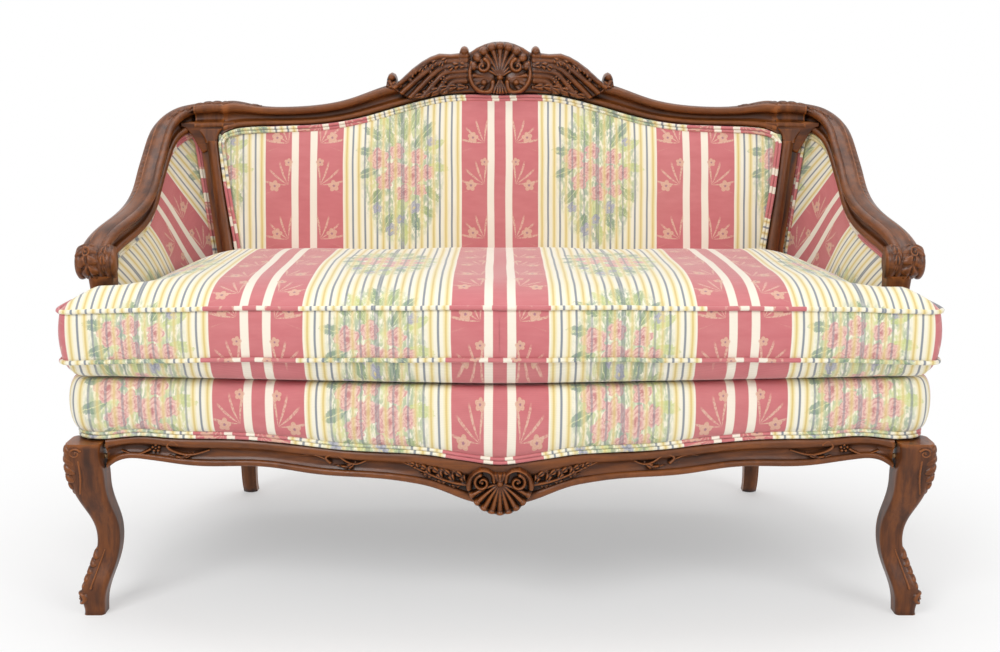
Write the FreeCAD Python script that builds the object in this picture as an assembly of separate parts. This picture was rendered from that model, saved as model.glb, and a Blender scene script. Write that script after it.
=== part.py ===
"""A two-seat cabriole sofa: carved show-wood frame, upholstered back, wings and sprung deck, loose T-cushion.

Millimetres. +Z is up and the sofa faces -Y. The pieces are drawn about the middle of the seat and are then moved
back by FOOTPRINT_SHIFT, which puts the origin on the floor at the middle of the whole sofa's footprint.
Each named piece is written to parts/NAME.step.
"""
import FreeCAD, Part
import math
import os

V = FreeCAD.Vector

# Driving dimensions of the whole sofa.
FOOTPRINT_SHIFT = 8.8
FRONT_Y = -305.0          # plane of the front legs' faces
TOTAL_H = 908.0           # floor to the top of the crest
ARM_HALF_W = 674.0        # centre line to the outside of a hand rest
FRAME_FACE = 20.0         # the show face stands this far in front of the back's middle plane
BACK_BASE_Y = 260.0       # the back's middle plane at the centre, at REF_Z
BACK_RAKE = 0.15          # the back leans this much per millimetre of height
BACK_BOW = 45.0           # the back's ends come forward by this much at BOW_HALF_W
BOW_HALF_W = 550.0
REF_Z = 350.0

# Seat frame heights.
RAIL_TOP_Z = 318.0
RAIL_LOW_Z = 248.0
DECK_Z = 384.0

# Loose cushion.
CUSHION_LOW_Z = 386.0
CUSHION_LOW_PIPING_Z = 416.0
CUSHION_TOP_PIPING_Z = 494.0
CUSHION_CROWN_Z = 530.0

CLOTH = 2.5               # thickness of the woven cover with its lining
EDGE_SLACK = 1.7          # slack between a cover's edge and the curved wood beside it
WELT_R = 3.0              # radius of one cord of the double welt

# Outlines of the crest rail as (x, z), from the centre line to its end at the stile.
CREST_LOW = [(0, 806), (60, 807), (116, 803), (193, 784), (269, 763), (345, 751), (421, 748), (500, 744), (530, 733)]
CREST_HIGH = [(0, 852), (60, 851), (116, 844), (193, 828), (240, 814), (291, 796), (348, 785), (405, 781),
              (461, 784), (530, 790)]
CREST_END_X = 527.0
CREST_DEPTH = 40.0
# Silhouette of the carved cresting over the rail.
CRESTING = [(0, 908), (29, 902), (72, 893), (117, 881), (146, 873), (175, 856), (213, 833), (245, 812)]

# Stile and rear leg in one piece: (z, x, y of its middle, width, depth).
STILE = [(0, 514, 331, 27, 27), (90, 512, 307, 31, 31), (190, 509, 268, 38, 40), (270, 508, 222, 44, 42),
         (350, 508, 217, 46, 42), (484, 516, 238, 46, 40), (628, 537, 260, 46, 40), (720, 548, 271, 50, 40)]
STILE_BEAD_W = 22.0
STILE_BEAD_DEPTH = 14.0
STILE_BLOCK_X = (527.0, 580.0)

# Middle line of the right arm rail, from the stile's top block to the curl of the hand rest.
ARM_LINE = [(578, 288, 764), (600, 275, 760), (618, 250, 749), (629, 222, 731), (633, 190, 706), (634, 157, 680),
            (634, 123, 655), (632, 88, 633), (631, 45, 614), (632, -5, 600), (636, -60, 589), (642, -115, 578),
            (646, -150, 566), (648, -176, 551)]
ARM_SIZE = (40.0, 42.0)   # height and depth of the arm rail
VOLUTE_CENTRE = (-174.0, 548.0)
VOLUTE_R = 25.0
VOLUTE_X = (616.0, 672.0)

# Middle line of the right arm post: (x, y, z, width).
ARM_POST = [(634, -150, 290, 44), (634, -146, 330, 42), (634, -150, 400, 37), (636, -162, 470, 36), (637, -172, 528, 40)]

# Right front leg as (z, x, y, half width).
FRONT_LEG = [(0, 645, -280, 16.5), (26, 645, -281, 18.5), (43, 643, -278, 20), (76, 631, -266, 19),
             (110, 623, -258, 18), (143, 624, -259, 19), (176, 633, -268, 22), (209, 641, -276, 25.5),
             (240, 644, -279, 27.5), (284, 644, -279, 27.5)]

# Front seat rail as (x, z): the lower edge, and the line where the cover meets the wood.
APRON_LOW = [(0, 196), (40, 199), (76, 212), (122, 227), (190, 235), (262, 236), (310, 240), (356, 246), (475, 244),
             (545, 253), (590, 255), (618, 236)]
APRON_LINE = [(0, 260), (60, 267), (120, 275), (245, 278), (320, 284), (400, 288), (497, 288), (560, 292), (618, 286)]
APRON_DEPTH = 30.0
APRON_BULGE = 50.0
APRON_HALF_W = 560.0

# Outline of the loose cushion's right half, as (x, y) corners with their radii.
CUSHION_OUTLINE = [(0, -372, 900), (330, -345, 900), (600, -318, 400), (667, -316, 24), (667, -210, 22),
                   (592, -210, 10), (586, -40, 300), (572, 100, 200), (548, 160, 100), (490, 200, 36), (0, 220, 900)]
CUSHION_BAR = CUSHION_OUTLINE[:5] + [(560, -210, 10), (0, -210, 10)]
CUSHION_BLOCK = [(0, -360, 900), (330, -333, 900), (560, -308, 60), (593, -284, 24)] + CUSHION_OUTLINE[6:]
PIPING_R = 3.5

SPRING_X = [-432.0, -288.0, -144.0, 0.0, 144.0, 288.0, 432.0]
SPRING_WIRE_R = 1.9
SPRING_HALF_W = 24.0
SPRING_PITCH = 30.0


def smooth(knots, at):
    """Value at a place on a smooth line through (place, value) knots; it is flat past the last knot."""
    if at <= knots[0][0]:
        return float(knots[0][1])
    if at >= knots[-1][0]:
        return float(knots[-1][1])
    i = max(k for k in range(len(knots) - 1) if knots[k][0] <= at)

    def slope(k):
        if k <= 0 and knots[0][0] == 0:
            return 0.0
        lo, hi = max(k - 1, 0), min(k + 1, len(knots) - 1)
        return (knots[hi][1] - knots[lo][1]) / (knots[hi][0] - knots[lo][0])

    (a, va), (b, vb) = knots[i], knots[i + 1]
    width, t = b - a, (at - a) / (b - a)
    return (va * (2 * t ** 3 - 3 * t ** 2 + 1) + vb * (3 * t ** 2 - 2 * t ** 3)
            + slope(i) * width * (t ** 3 - 2 * t ** 2 + t) + slope(i + 1) * width * (t ** 3 - t ** 2))


def column(table, index):
    """(first column, column index) pairs of a table, for smooth()."""
    return [(row[0], row[index]) for row in table]


def back_y(x, z):
    """Middle plane of the back: raked, with its ends bowed forward."""
    return BACK_BASE_Y + BACK_RAKE * (z - REF_Z) - BACK_BOW * (x / BOW_HALF_W) ** 2


def stile_x(z):
    return smooth(column(STILE, 1), z)


def apron_y(x):
    """Front face of the serpentine seat rail."""
    reach = min(abs(x) / APRON_HALF_W, 1.0)
    return FRONT_Y + 20.0 - APRON_BULGE * math.cos(reach * math.pi / 2) ** 2


class Line:
    """A smooth curve through points, run by a parameter from 0 to 1."""

    def __init__(self, points):
        self.points = [V(*p) for p in points]
        self.curve = Part.BSplineCurve()
        self.curve.interpolate(self.points)

    def at(self, t):
        return self.curve.value(self.curve.FirstParameter + t * self._span())

    def along(self, t):
        d = self.curve.tangent(self.curve.FirstParameter + t * self._span())[0]
        return d.normalize()

    def _span(self):
        return self.curve.LastParameter - self.curve.FirstParameter


# A show moulding, seen in section: n is towards the sitter and u is up, both as shares of the rail's size.
# It has a lower bead beside the cover, a cove, and an upper roll that turns over to the flat back.
MOULDING = [("start", (-0.50, -0.50)), ("line", (0.26, -0.50)), ("arc", (0.47, -0.38), (0.30, -0.20)),
            ("arc", (0.17, -0.02), (0.30, 0.14)), ("arc", (0.53, 0.30), (0.24, 0.47)),
            ("arc", (-0.14, 0.56), (-0.50, 0.40)), ("line", (-0.50, -0.50))]
# The seat rail: a moulded lower part, and a set-back upper part for the cover's tacks.
APRON_MOULDING = [("start", (-1.0, 0.0)), ("line", (-0.26, 0.0)), ("arc", (0.02, 0.10), (-0.16, 0.24)),
                  ("arc", (-0.27, 0.42), (-0.17, 0.62)), ("arc", (0.02, 0.80), (-0.12, 1.0)),
                  ("line", (-0.40, 1.0)), ("line", (-0.40, "top")), ("line", (-1.0, "top")), ("line", (-1.0, 0.0))]


def section(shape, place):
    """Closed wire of a section list; place(n, u) gives each corner's point in space."""
    edges, here = [], place(*shape[0][1])
    for kind, *corners in shape[1:]:
        points = [place(*c) for c in corners]
        if kind == "line":
            edges.append(Part.LineSegment(here, points[0]).toShape())
        else:
            edges.append(Part.Arc(here, points[0], points[1]).toShape())
        here = points[-1]
    return Part.Wire(edges)


def rounded_box(centre, half_x, half_y, r):
    """Horizontal rounded rectangle at a point."""
    x, y, z = centre
    corners = [(x + half_x, y - half_y), (x + half_x, y + half_y), (x - half_x, y + half_y), (x - half_x, y - half_y)]
    return rounded_path([((a, b, z), r) for a, b in corners], closed=True)


def loft(wires, ruled=False):
    return Part.makeLoft(wires, True, ruled)


def shares(count, low=0.0, high=1.0):
    return [low + (high - low) * i / (count - 1) for i in range(count)]


def mirrored(shape):
    return shape.mirror(V(0, 0, 0), V(1, 0, 0))


def without(shape, *others):
    """The shape less all the others that come near it."""
    box = shape.BoundBox
    near = [other for other in others if other.BoundBox.intersect(box)]
    return shape.cut(near) if near else shape


def main_body(shape):
    """The largest solid of a cut piece."""
    return max(shape.Solids, key=lambda solid: solid.Volume)


def only_solids(shape):
    return Part.makeCompound(shape.Solids) if len(shape.Solids) > 1 else shape.Solids[0]


def rounded_path(corners, closed=False):
    """Straight runs joined by tangent arcs; each corner is (point, largest radius)."""
    points = [V(*c[0]) for c in corners]
    n = len(points)
    edges, ends = [], []
    for i in range(n):
        if not closed and i in (0, n - 1):
            ends.append((points[i], None, points[i]))
            continue
        a, b, c = points[i - 1], points[i], points[(i + 1) % n]
        before, after = (a - b), (c - b)
        turn = math.pi - before.getAngle(after)
        if turn < 0.002:
            ends.append((b, None, b))
            continue
        reach = 0.45 * min(before.Length, after.Length)
        r = min(corners[i][1], reach / math.tan(turn / 2))
        cut = r * math.tan(turn / 2)
        p, q = b + before.normalize() * cut, b + after.normalize() * cut
        centre = b + (before + after).normalize() * (r / math.cos(turn / 2))
        ends.append((p, centre + (b - centre).normalize() * r, q))
    for i in range(n):
        start, mid, end = ends[i]
        if mid is not None:
            edges.append(Part.Arc(start, mid, end).toShape())
        if i < n - 1 or closed:
            to = ends[(i + 1) % n][0]
            if (to - end).Length > 1e-4:
                edges.append(Part.LineSegment(end, to).toShape())
    return Part.Wire(edges)


def tube(wire, r):
    """Round cord along a wire of runs and tangent arcs."""
    edge = wire.Edges[0]
    at, along = edge.valueAt(edge.FirstParameter), edge.tangentAt(edge.FirstParameter)
    ring = Part.Wire([Part.makeCircle(r, at, along)])
    return wire.makePipeShell([ring], True, False)


def cover_face(point, s_values, v_values):
    """Smooth face through the points point(s, v) of a grid."""
    surface = Part.BSplineSurface()
    surface.interpolate([[point(s, v) for v in v_values] for s in s_values])
    return surface.toShape()


# Crest rail, its cresting and shell

def crest_place(x):
    low, high = smooth(CREST_LOW, abs(x)), smooth(CREST_HIGH, abs(x))
    mid, height = (low + high) / 2, high - low
    face_y = back_y(x, mid)
    return lambda n, u: V(x, face_y - n * CREST_DEPTH, mid + u * height)


def crest_rail():
    return loft([section(MOULDING, crest_place(x)) for x in shares(19, -CREST_END_X, CREST_END_X)])


CRESTING_SECTION = [("start", (-0.35, 0.0)), ("line", (0.40, 0.0)), ("arc", (0.52, 0.45), (0.26, 0.85)),
                    ("arc", (-0.02, 1.0), (-0.30, 0.85)), ("line", (-0.35, 0.0))]


def cresting():
    """Carved block glued on the rail; its outline is the top of the sofa."""
    wires = []
    half = CRESTING[-1][0] - 2.0
    for x in shares(13, -half, half):
        top = smooth(CRESTING, abs(x))
        root = smooth(CREST_LOW, abs(x)) + 0.55 * (smooth(CREST_HIGH, abs(x)) - smooth(CREST_LOW, abs(x)))
        depth = 44.0 + 10.0 * math.exp(-(x / 70.0) ** 2)
        y = back_y(x, root)
        wires.append(section(CRESTING_SECTION, lambda n, u: V(x, y - n * depth, root + u * (top - root))))
    return loft(wires)


def boss(centre, half_x, half_y, half_z):
    """Low dome that stands for a carved shell: round seen from the front, closing in towards the sitter."""
    x, y, z = centre
    wires = []
    for ahead, scale in ((-1.0, 1.0), (0.0, 1.0), (0.35, 0.94), (0.65, 0.78), (0.88, 0.52), (1.0, 0.26)):
        corners = []
        for k in range(8):
            angle = math.pi * (k + 0.5) / 4
            across, up = 1.04 * half_x * math.cos(angle), 1.04 * half_z * math.sin(angle)
            corners.append(((x + scale * across, y - ahead * half_y, z + scale * up), 200.0))
        wires.append(rounded_path(corners, closed=True))
    return loft(wires, True)


# Stiles, arm rails and posts (right-hand ones, which are mirrored)

def stile():
    """Rear leg and stile: a block for the covers to be tacked on, with a show bead up its front."""
    wires = []
    for z, x, y, width, depth in STILE:
        front = depth / 2
        wide, deep = width / 2, depth / 2
        bead = STILE_BEAD_W / 2 if z > 400 else wide - 2
        step = front - (STILE_BEAD_DEPTH if z > 400 else 6.0)
        outline = [("start", (-wide, -deep)), ("line", (wide, -deep)), ("line", (wide, step)),
                   ("line", (bead, step + 0.5)), ("line", (bead, front - 5)), ("arc", (0, front), (-bead, front - 5)),
                   ("line", (-bead, step + 0.5)), ("line", (-wide, step)), ("line", (-wide, -deep))]
        wires.append(section(outline, lambda a, b: V(x + a, y - b, z)))
    low = loft(wires[:6])
    high = loft(wires[5:])
    return low.fuse(high).removeSplitter()


def stile_block():
    """Head of the stile, between the crest rail and the arm rail, with hollowed corners under it."""
    left, right = STILE_BLOCK_X
    head = []
    for x in (left, (left + right) / 2, right):
        low, high = 742.0, smooth(CREST_HIGH, min(x, 530)) + (0 if x < 560 else -4)
        y = back_y(x, 766)
        head.append(section(MOULDING, lambda n, u: V(x, y - n * CREST_DEPTH, (low + high) / 2 + u * (high - low))))
    neck = []
    for z, half in ((716, 12.0), (728, 15.0), (737, 20.5), (743, 26.4)):
        x = (left + right) / 2 - (743 - z) * 0.15
        y = back_y(x, z)
        neck.append(rounded_box((x, y, z), half, 17.0, 5.0))
    return loft(head).fuse(loft(neck))


ARM = Line(ARM_LINE)


def arm_frame(t):
    """Middle point, direction to the sitter and up direction of the arm rail."""
    along = ARM.along(t)
    inward = along.cross(V(0, 0, 1)).normalize()
    return ARM.at(t), inward, inward.cross(along).normalize()


def arm_place(t):
    at, inward, up = arm_frame(t)
    height, depth = ARM_SIZE
    height += 6.0 * (1 - min(t * 6, 1.0))
    return lambda n, u: at + inward * (n * depth) + up * (u * height)


def arm_rail():
    sweep = loft([section(MOULDING, arm_place(t)) for t in shares(19)])
    y, z = VOLUTE_CENTRE
    roll = Part.makeCylinder(VOLUTE_R, VOLUTE_X[1] - VOLUTE_X[0], V(VOLUTE_X[0], y, z), V(1, 0, 0))
    roll = roll.makeFillet(7.0, [e for e in roll.Edges if e.Closed])
    return sweep.fuse(roll)


def arm_post():
    return loft([rounded_box((x, y, z), w / 2, w / 2, 8.0) for x, y, z, w in ARM_POST])


# Legs and seat rails

def front_leg():
    return loft([rounded_box((x, y, z), half, half, 0.42 * half) for z, x, y, half in FRONT_LEG])


def apron_place(x):
    low, line = smooth(APRON_LOW, abs(x)), smooth(APRON_LINE, abs(x))
    y = apron_y(x)

    def place(n, u):
        z = RAIL_TOP_Z if u == "top" else low + u * (line - low)
        return V(x, y - n * APRON_DEPTH, z)
    return place


APRON_STATIONS = [0, 35, 75, 120, 170, 230, 300, 370, 440, 500, 545, 580, 600, 614]


def front_rail():
    stations = [-x for x in APRON_STATIONS[:0:-1]] + APRON_STATIONS
    return loft([section(APRON_MOULDING, apron_place(x)) for x in stations])


SIDE_RAIL_LINE = Line([(644, -255, 0), (643, -150, 0), (634, -20, 0), (604, 90, 0), (556, 170, 0), (508, 216, 0)])


def side_rail():
    wires = []
    for t in shares(9):
        at, along = SIDE_RAIL_LINE.at(t), SIDE_RAIL_LINE.along(t)
        out = along.cross(V(0, 0, 1)).normalize()
        low = RAIL_LOW_Z + 10.0 * math.sin(math.pi * t) ** 2
        outline = [("start", (-15, RAIL_TOP_Z)), ("line", (-15, low)), ("line", (8, low)),
                   ("arc", (15, low + 8), (9, low + 16)), ("arc", (6, low + 22), (12, low + 28)),
                   ("line", (12, 284)), ("line", (-3.5, 284)), ("line", (-3.5, RAIL_TOP_Z)),
                   ("line", (-15, RAIL_TOP_Z))]
        wires.append(section(outline, lambda a, z: V(at.x, at.y, z) + out * a))
    return loft(wires)


def back_bar(low, high, half_width, thick, set_back=0.0):
    """Straight-grained bar that follows the back's bow, between the stiles."""
    wires = []
    for x in shares(9, -half_width, half_width):
        outline = [("start", (-thick / 2, low)), ("line", (thick / 2, low)), ("line", (thick / 2, high)),
                   ("line", (-thick / 2, high)), ("line", (-thick / 2, low))]
        wires.append(section(outline, lambda a, z: V(x, back_y(x, z) + set_back + a, z)))
    return loft(wires)


def arm_tack_rail():
    """Rail low in the wing that the side covers are tacked to."""
    line = Line([(632, -132, 0), (626, -20, 0), (608, 80, 0), (572, 160, 0), (522, 218, 0)])
    wires = []
    for t in shares(7):
        at, along = line.at(t), line.along(t)
        out = along.cross(V(0, 0, 1)).normalize()
        outline = [("start", (0, 352)), ("line", (20, 352)), ("line", (20, 382)), ("line", (0, 382)), ("line", (0, 352))]
        wires.append(section(outline, lambda a, z: V(at.x, at.y, z) + out * a))
    return loft(wires)


def corner_block(x, y, reach_x, reach_y):
    low, high = 262.0, 308.0
    a, b, c = V(x, y, low), V(x + reach_x, y, low), V(x, y + reach_y, low)
    return Part.Face(Part.makePolygon([a, b, c, a])).extrude(V(0, 0, high - low))


# Springs

def spring(x):
    """Flat zigzag spring from the front rail to the back rail."""
    y, z = apron_y(x) + 24.0, RAIL_TOP_Z + SPRING_WIRE_R + 0.2
    end = back_y(x, RAIL_TOP_Z) - 6.0
    bends = int((end - y) // SPRING_PITCH)
    pitch = (end - y) / bends
    corners = [((x, y, z), 0)]
    for k in range(bends):
        side = SPRING_HALF_W if k % 2 else -SPRING_HALF_W
        corners.append(((x + side, y + (k + 0.22) * pitch, z), 11.0))
        corners.append(((x + side, y + (k + 0.78) * pitch, z), 11.0))
    corners.append(((x, end, z), 0))
    return tube(rounded_path(corners), SPRING_WIRE_R)


def spring_clip(x, y):
    base = Part.makeBox(16, 12, 6.4, V(x - 8, y - 6, RAIL_TOP_Z + 0.01))
    return base


# Soft covers: each is a woven skin over a pad, shaped by a grid point(s, v)

def panel_crown(s, v, low=0.0):
    """How far out a stuffed panel stands, as a share: full in the middle, falling fast near its edges."""
    across = 1 - abs(2 * s - 1) ** 5
    upward = 1 - max(0.0, v - low) ** 7
    return across * upward


def back_point(s, v, inset=0.0, behind=0.0):
    """s runs from the left stile to the right, v from the deck to the crest rail."""
    s = inset + s * (1 - 2 * inset)
    v = v * (1 - inset)
    base = 388.0
    guess = (2 * s - 1) * (stile_x(560) - 12)
    top = smooth(CREST_LOW, abs(guess)) - EDGE_SLACK
    z = base + v * (top - base)
    x = (2 * s - 1) * (stile_x(z) - STILE_BEAD_W / 2 - EDGE_SLACK)
    z = base + v * (smooth(CREST_LOW, abs(x)) - EDGE_SLACK - base)
    y = back_y(x, z) - FRAME_FACE + 6.0 - 26.0 * panel_crown(s, v)
    return V(x, y + behind, z)


def side_point(s, v, inset=0.0, behind=0.0):
    """s runs from the stile to the arm post, v from the deck to the arm rail (right-hand wing)."""
    s = inset + s * (1 - 2 * inset)
    v = v * (1 - inset)
    base = 388.0
    t = 0.02 + 0.96 * s
    at, inward, up = arm_frame(t)
    top = at + inward * (0.14 * ARM_SIZE[1]) - up * (ARM_SIZE[0] / 2 + 3.0 * (1 - min(t * 6, 1.0)) + 2.0)
    low = SIDE_LOW.at(s)
    p = V(low.x, low.y, base) * (1 - v) + top * v
    swell = 16.0 * panel_crown(s, v) * math.sin(math.pi * (0.25 + 0.5 * v))
    out = V(0.83, 0.56, 0)
    return p - out * swell + out * behind


SIDE_LOW = Line([(532, 246, 0), (566, 196, 0), (592, 110, 0), (604, 0, 0), (612, -136, 0)])


# Seat deck

def deck_half_width(y):
    return smooth([(-260, 600), (-150, 598), (0, 588), (100, 566), (170, 528), (212, 486)], y)


def deck_point(s, v, inset=0.0, drop=0.0):
    y = -240.0 + inset * 20 + v * (448.0 - inset * 60)
    half = deck_half_width(y) - inset * 20
    x = (2 * s - 1) * half
    return V(x, y - 18.0 * (x / 600.0) ** 2 * v, DECK_Z - 3.0 * abs(2 * s - 1) ** 4 - drop)


BORDER_LINE = Line([(0, apron_y(0) - 4, 0), (150, apron_y(150) - 4, 0), (320, apron_y(320) - 4, 0),
                    (480, apron_y(480) - 4, 0), (560, -291, 0), (608, -289, 0), (632, -284, 0), (648, -270, 0),
                    (655, -250, 0), (656, -225, 0), (656, -192, 0)])
BORDER_STATIONS = [0.0, 0.09, 0.18, 0.27, 0.36, 0.45, 0.54, 0.62, 0.69, 0.74, 0.78, 0.82, 0.86, 0.90, 0.95, 1.0]
BORDER_FOOT = 14.4        # the roll starts this far above the wood, over the double welt
SHELF_Z = RAIL_TOP_Z + 7.6   # the roll's shelf clears the spring clips on the rail


def border_frame(t):
    """Point on the line of the deck's front, the way out from it, and the height of the wood below it."""
    at, along = BORDER_LINE.at(t), BORDER_LINE.along(t)
    return at, along.cross(V(0, 0, 1)).normalize(), smooth(APRON_LINE, at.x)


def border_section(t, right=1.0):
    """Stuffed roll along the deck's front edge: a skirt in front of the rail, and a shelf over its top."""
    at, out, wood = border_frame(t)
    low, shelf, top = wood + BORDER_FOOT, SHELF_Z, 380.0
    rise = top - low
    outline = [("start", (-13.0, low)), ("line", (-4, low)), ("arc", (6, low + 0.12 * rise), (8, low + 0.42 * rise)),
               ("arc", (6, low + 0.74 * rise), (-8, low + 0.95 * rise)), ("arc", (-20, top), (-42, top)),
               ("line", (-42, shelf)), ("line", (-13.0, shelf)), ("line", (-13.0, low))]

    def place(n, z):
        p = at + out * n
        return V(p.x * right, p.y, z)
    return section(outline, place)


def front_border():
    right = [border_section(t) for t in BORDER_STATIONS]
    left = [border_section(t, -1.0) for t in BORDER_STATIONS[:0:-1]]
    return loft(left + right)


# Loose cushion

def full_outline(half, cy, scale, z):
    """Both halves of an outline, shrunk about a middle at y = cy."""
    right = [((x * scale, cy + (y - cy) * scale, z), r * scale) for x, y, r in half]
    left = [((-p[0], p[1], p[2]), r) for p, r in right[-2:0:-1]]
    return right + left


def pillow(half, cy, reach, crown_z, shrink):
    """Stuffed block with a flat band round its side; the crown above and below it closes in."""
    low_z, rise = CUSHION_LOW_Z, crown_z - CUSHION_TOP_PIPING_Z
    stations = [(low_z, 0.86), (low_z + 5, 0.94), (low_z + 16, 0.985), (CUSHION_LOW_PIPING_Z, 1.0),
                ((CUSHION_LOW_PIPING_Z + CUSHION_TOP_PIPING_Z) / 2, 1.003), (CUSHION_TOP_PIPING_Z, 1.0),
                (CUSHION_TOP_PIPING_Z + 0.36 * rise, 0.96), (CUSHION_TOP_PIPING_Z + 0.74 * rise, 0.85), (crown_z, 0.60)]
    mid = (low_z + crown_z) / 2
    wires = []
    for z, scale in stations:
        z -= shrink * (z - mid) / (mid - low_z)
        wires.append(rounded_path(full_outline(half, cy, scale - shrink / reach, z), closed=True))
    return loft(wires, True)


def cushion_body(shrink=0.0):
    """The T shape: a front bar that ends in the ears, and the seat's main block."""
    bar = pillow(CUSHION_BAR, -280.0, 80.0, CUSHION_CROWN_Z - 16.0, shrink)
    block = pillow(CUSHION_BLOCK, -70.0, 290.0, CUSHION_CROWN_Z, shrink)
    return bar.fuse(block)


def slab(low, high):
    return Part.makeBox(1600, 1000, high - low, V(-800, -500, low))


# Cords

def welt_pair(points, push, radius=60.0):
    """Double welt: two cords side by side along a route; push(i) is the way from the first to the second."""
    cords = []
    for k in (0, 1):
        corners = [(tuple(p + push(i) * (k * (2 * WELT_R + 0.3))), radius) for i, p in enumerate(points)]
        cords.append(tube(rounded_path(corners), WELT_R))
    return Part.makeCompound(cords)


def cover_welt(point, rows, columns, radius):
    """Double welt that lies on a cover: up one side, along its top and down the other side."""
    cords = []
    for edge in (4.0, 4.6 + 2 * WELT_R):
        rise = [(edge / (point(1, v) - point(0, v)).Length, v) for v in rows]
        over = [(s, 1 - edge / (point(s, 1) - point(s, 0)).Length) for s in columns]
        fall = [(1 - s, v) for s, v in reversed(rise)]
        corners = []
        for s, v in rise + over + fall:
            across = point(s + 0.003, v) - point(s - 0.003, v)
            up = point(s, v + 0.003) - point(s, v - 0.003)
            out = across.cross(up).normalize()
            corners.append((tuple(point(s, v) + out * (WELT_R + 1.3)), radius))
        cords.append(tube(rounded_path(corners), WELT_R))
    return Part.makeCompound(cords)


def back_welt():
    return cover_welt(back_point, (0.02, 0.25, 0.50, 0.72, 0.90), shares(25, 0.035, 0.965), 30.0)


def side_welt():
    return cover_welt(side_point, (0.02, 0.3, 0.6, 0.84), shares(17, 0.07, 0.93), 22.0)


def seat_welt():
    """Along the ledge over the wood at the deck's front, round both corners."""
    half = []
    for t in BORDER_STATIONS:
        at, out, wood = border_frame(t)
        half.append(V(at.x, at.y, wood + WELT_R + 1.4) - out * 6.0)
    points = [V(-p.x, p.y, p.z) for p in half[:0:-1]] + half
    return welt_pair(points, lambda i: V(0, 0, 1), 200.0)


def cushion_piping(z):
    return tube(rounded_path(full_outline(CUSHION_OUTLINE, -70.0, 1.0 + 4.6 / 640.0, z), closed=True), PIPING_R)


def zipper():
    """Tape and teeth across the back of the boxing."""
    back, side = 220.0, 220.0 - 300.0 * 20.0 / 490.0
    plan = [(-300, side - 2), (0, back - 2), (300, side - 2), (300, side + 2.4), (0, back + 2.4), (-300, side + 2.4)]
    outline = Part.makePolygon([V(x, y, 449) for x, y in plan + plan[:1]])
    return Part.Face(outline).extrude(V(0, 0, 12))


# Outer covers

def outside_back():
    def point(s, v):
        base = 262.0
        x = (2 * s - 1) * (stile_x(300 + 440 * v) - 24)
        z = base + v * (smooth(CREST_LOW, abs(x)) + 14 - base)
        return V(x, back_y(x, z) + 24.0, z)
    return cover_face(point, shares(13), shares(7)).extrude(V(0, CLOTH, 0))


def outside_arm(inside=0.0, thick=CLOTH):
    """From the stile round to the arm post, and from the arm rail down to the side seat rail."""
    out = V(0.83, 0.56, 0)
    low_line = Line([(534, 232, 0), (578, 172, 0), (622, 92, 0), (652, -20, 0), (658, -124, 0)])

    def point(s, v):
        at, inward, up = arm_frame(0.03 + 0.87 * s)
        top = at - inward * (0.34 * ARM_SIZE[1]) - up * (ARM_SIZE[0] / 2 + 4.0)
        low = low_line.at(s)
        return V(low.x, low.y, 292) * (1 - v) + top * v - out * inside
    return cover_face(point, shares(9), shares(5)).extrude(out * thick)


def webbing():
    """Jute straps behind the back's pad, two across and five up, woven over and under as plain bands."""
    bands = []
    for x in (-360, -180, 0, 180, 360):
        def upright(s, v):
            z = 408 + v * (smooth(CREST_LOW, abs(x)) - 14 - 408)
            return V(x - 25 + 50 * s, back_y(x, z) + 14.5, z)
        bands.append(cover_face(upright, shares(3), shares(5)).extrude(V(0, 1.4, 0)))
    for z in (500, 610, 700):
        def across(s, v):
            x = (2 * s - 1) * (stile_x(z) - 26)
            return V(x, back_y(x, z) + 17.0, z - 25 + 50 * v)
        bands.append(cover_face(across, shares(9), shares(3)).extrude(V(0, 1.4, 0)))
    return Part.makeCompound(bands)


def dowel(at, along, length=48.0, r=4.0):
    start = V(*at) - V(*along) * (length / 2)
    return Part.makeCylinder(r, length, start, V(*along))


def screw(at, along, length=44.0):
    head = Part.makeCylinder(4.2, 3.0, V(*at), V(*along))
    return head.fuse(Part.makeCylinder(2.2, length, V(*at), V(*along)))


def both(right):
    return {"left": mirrored(right), "right": right}


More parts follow.
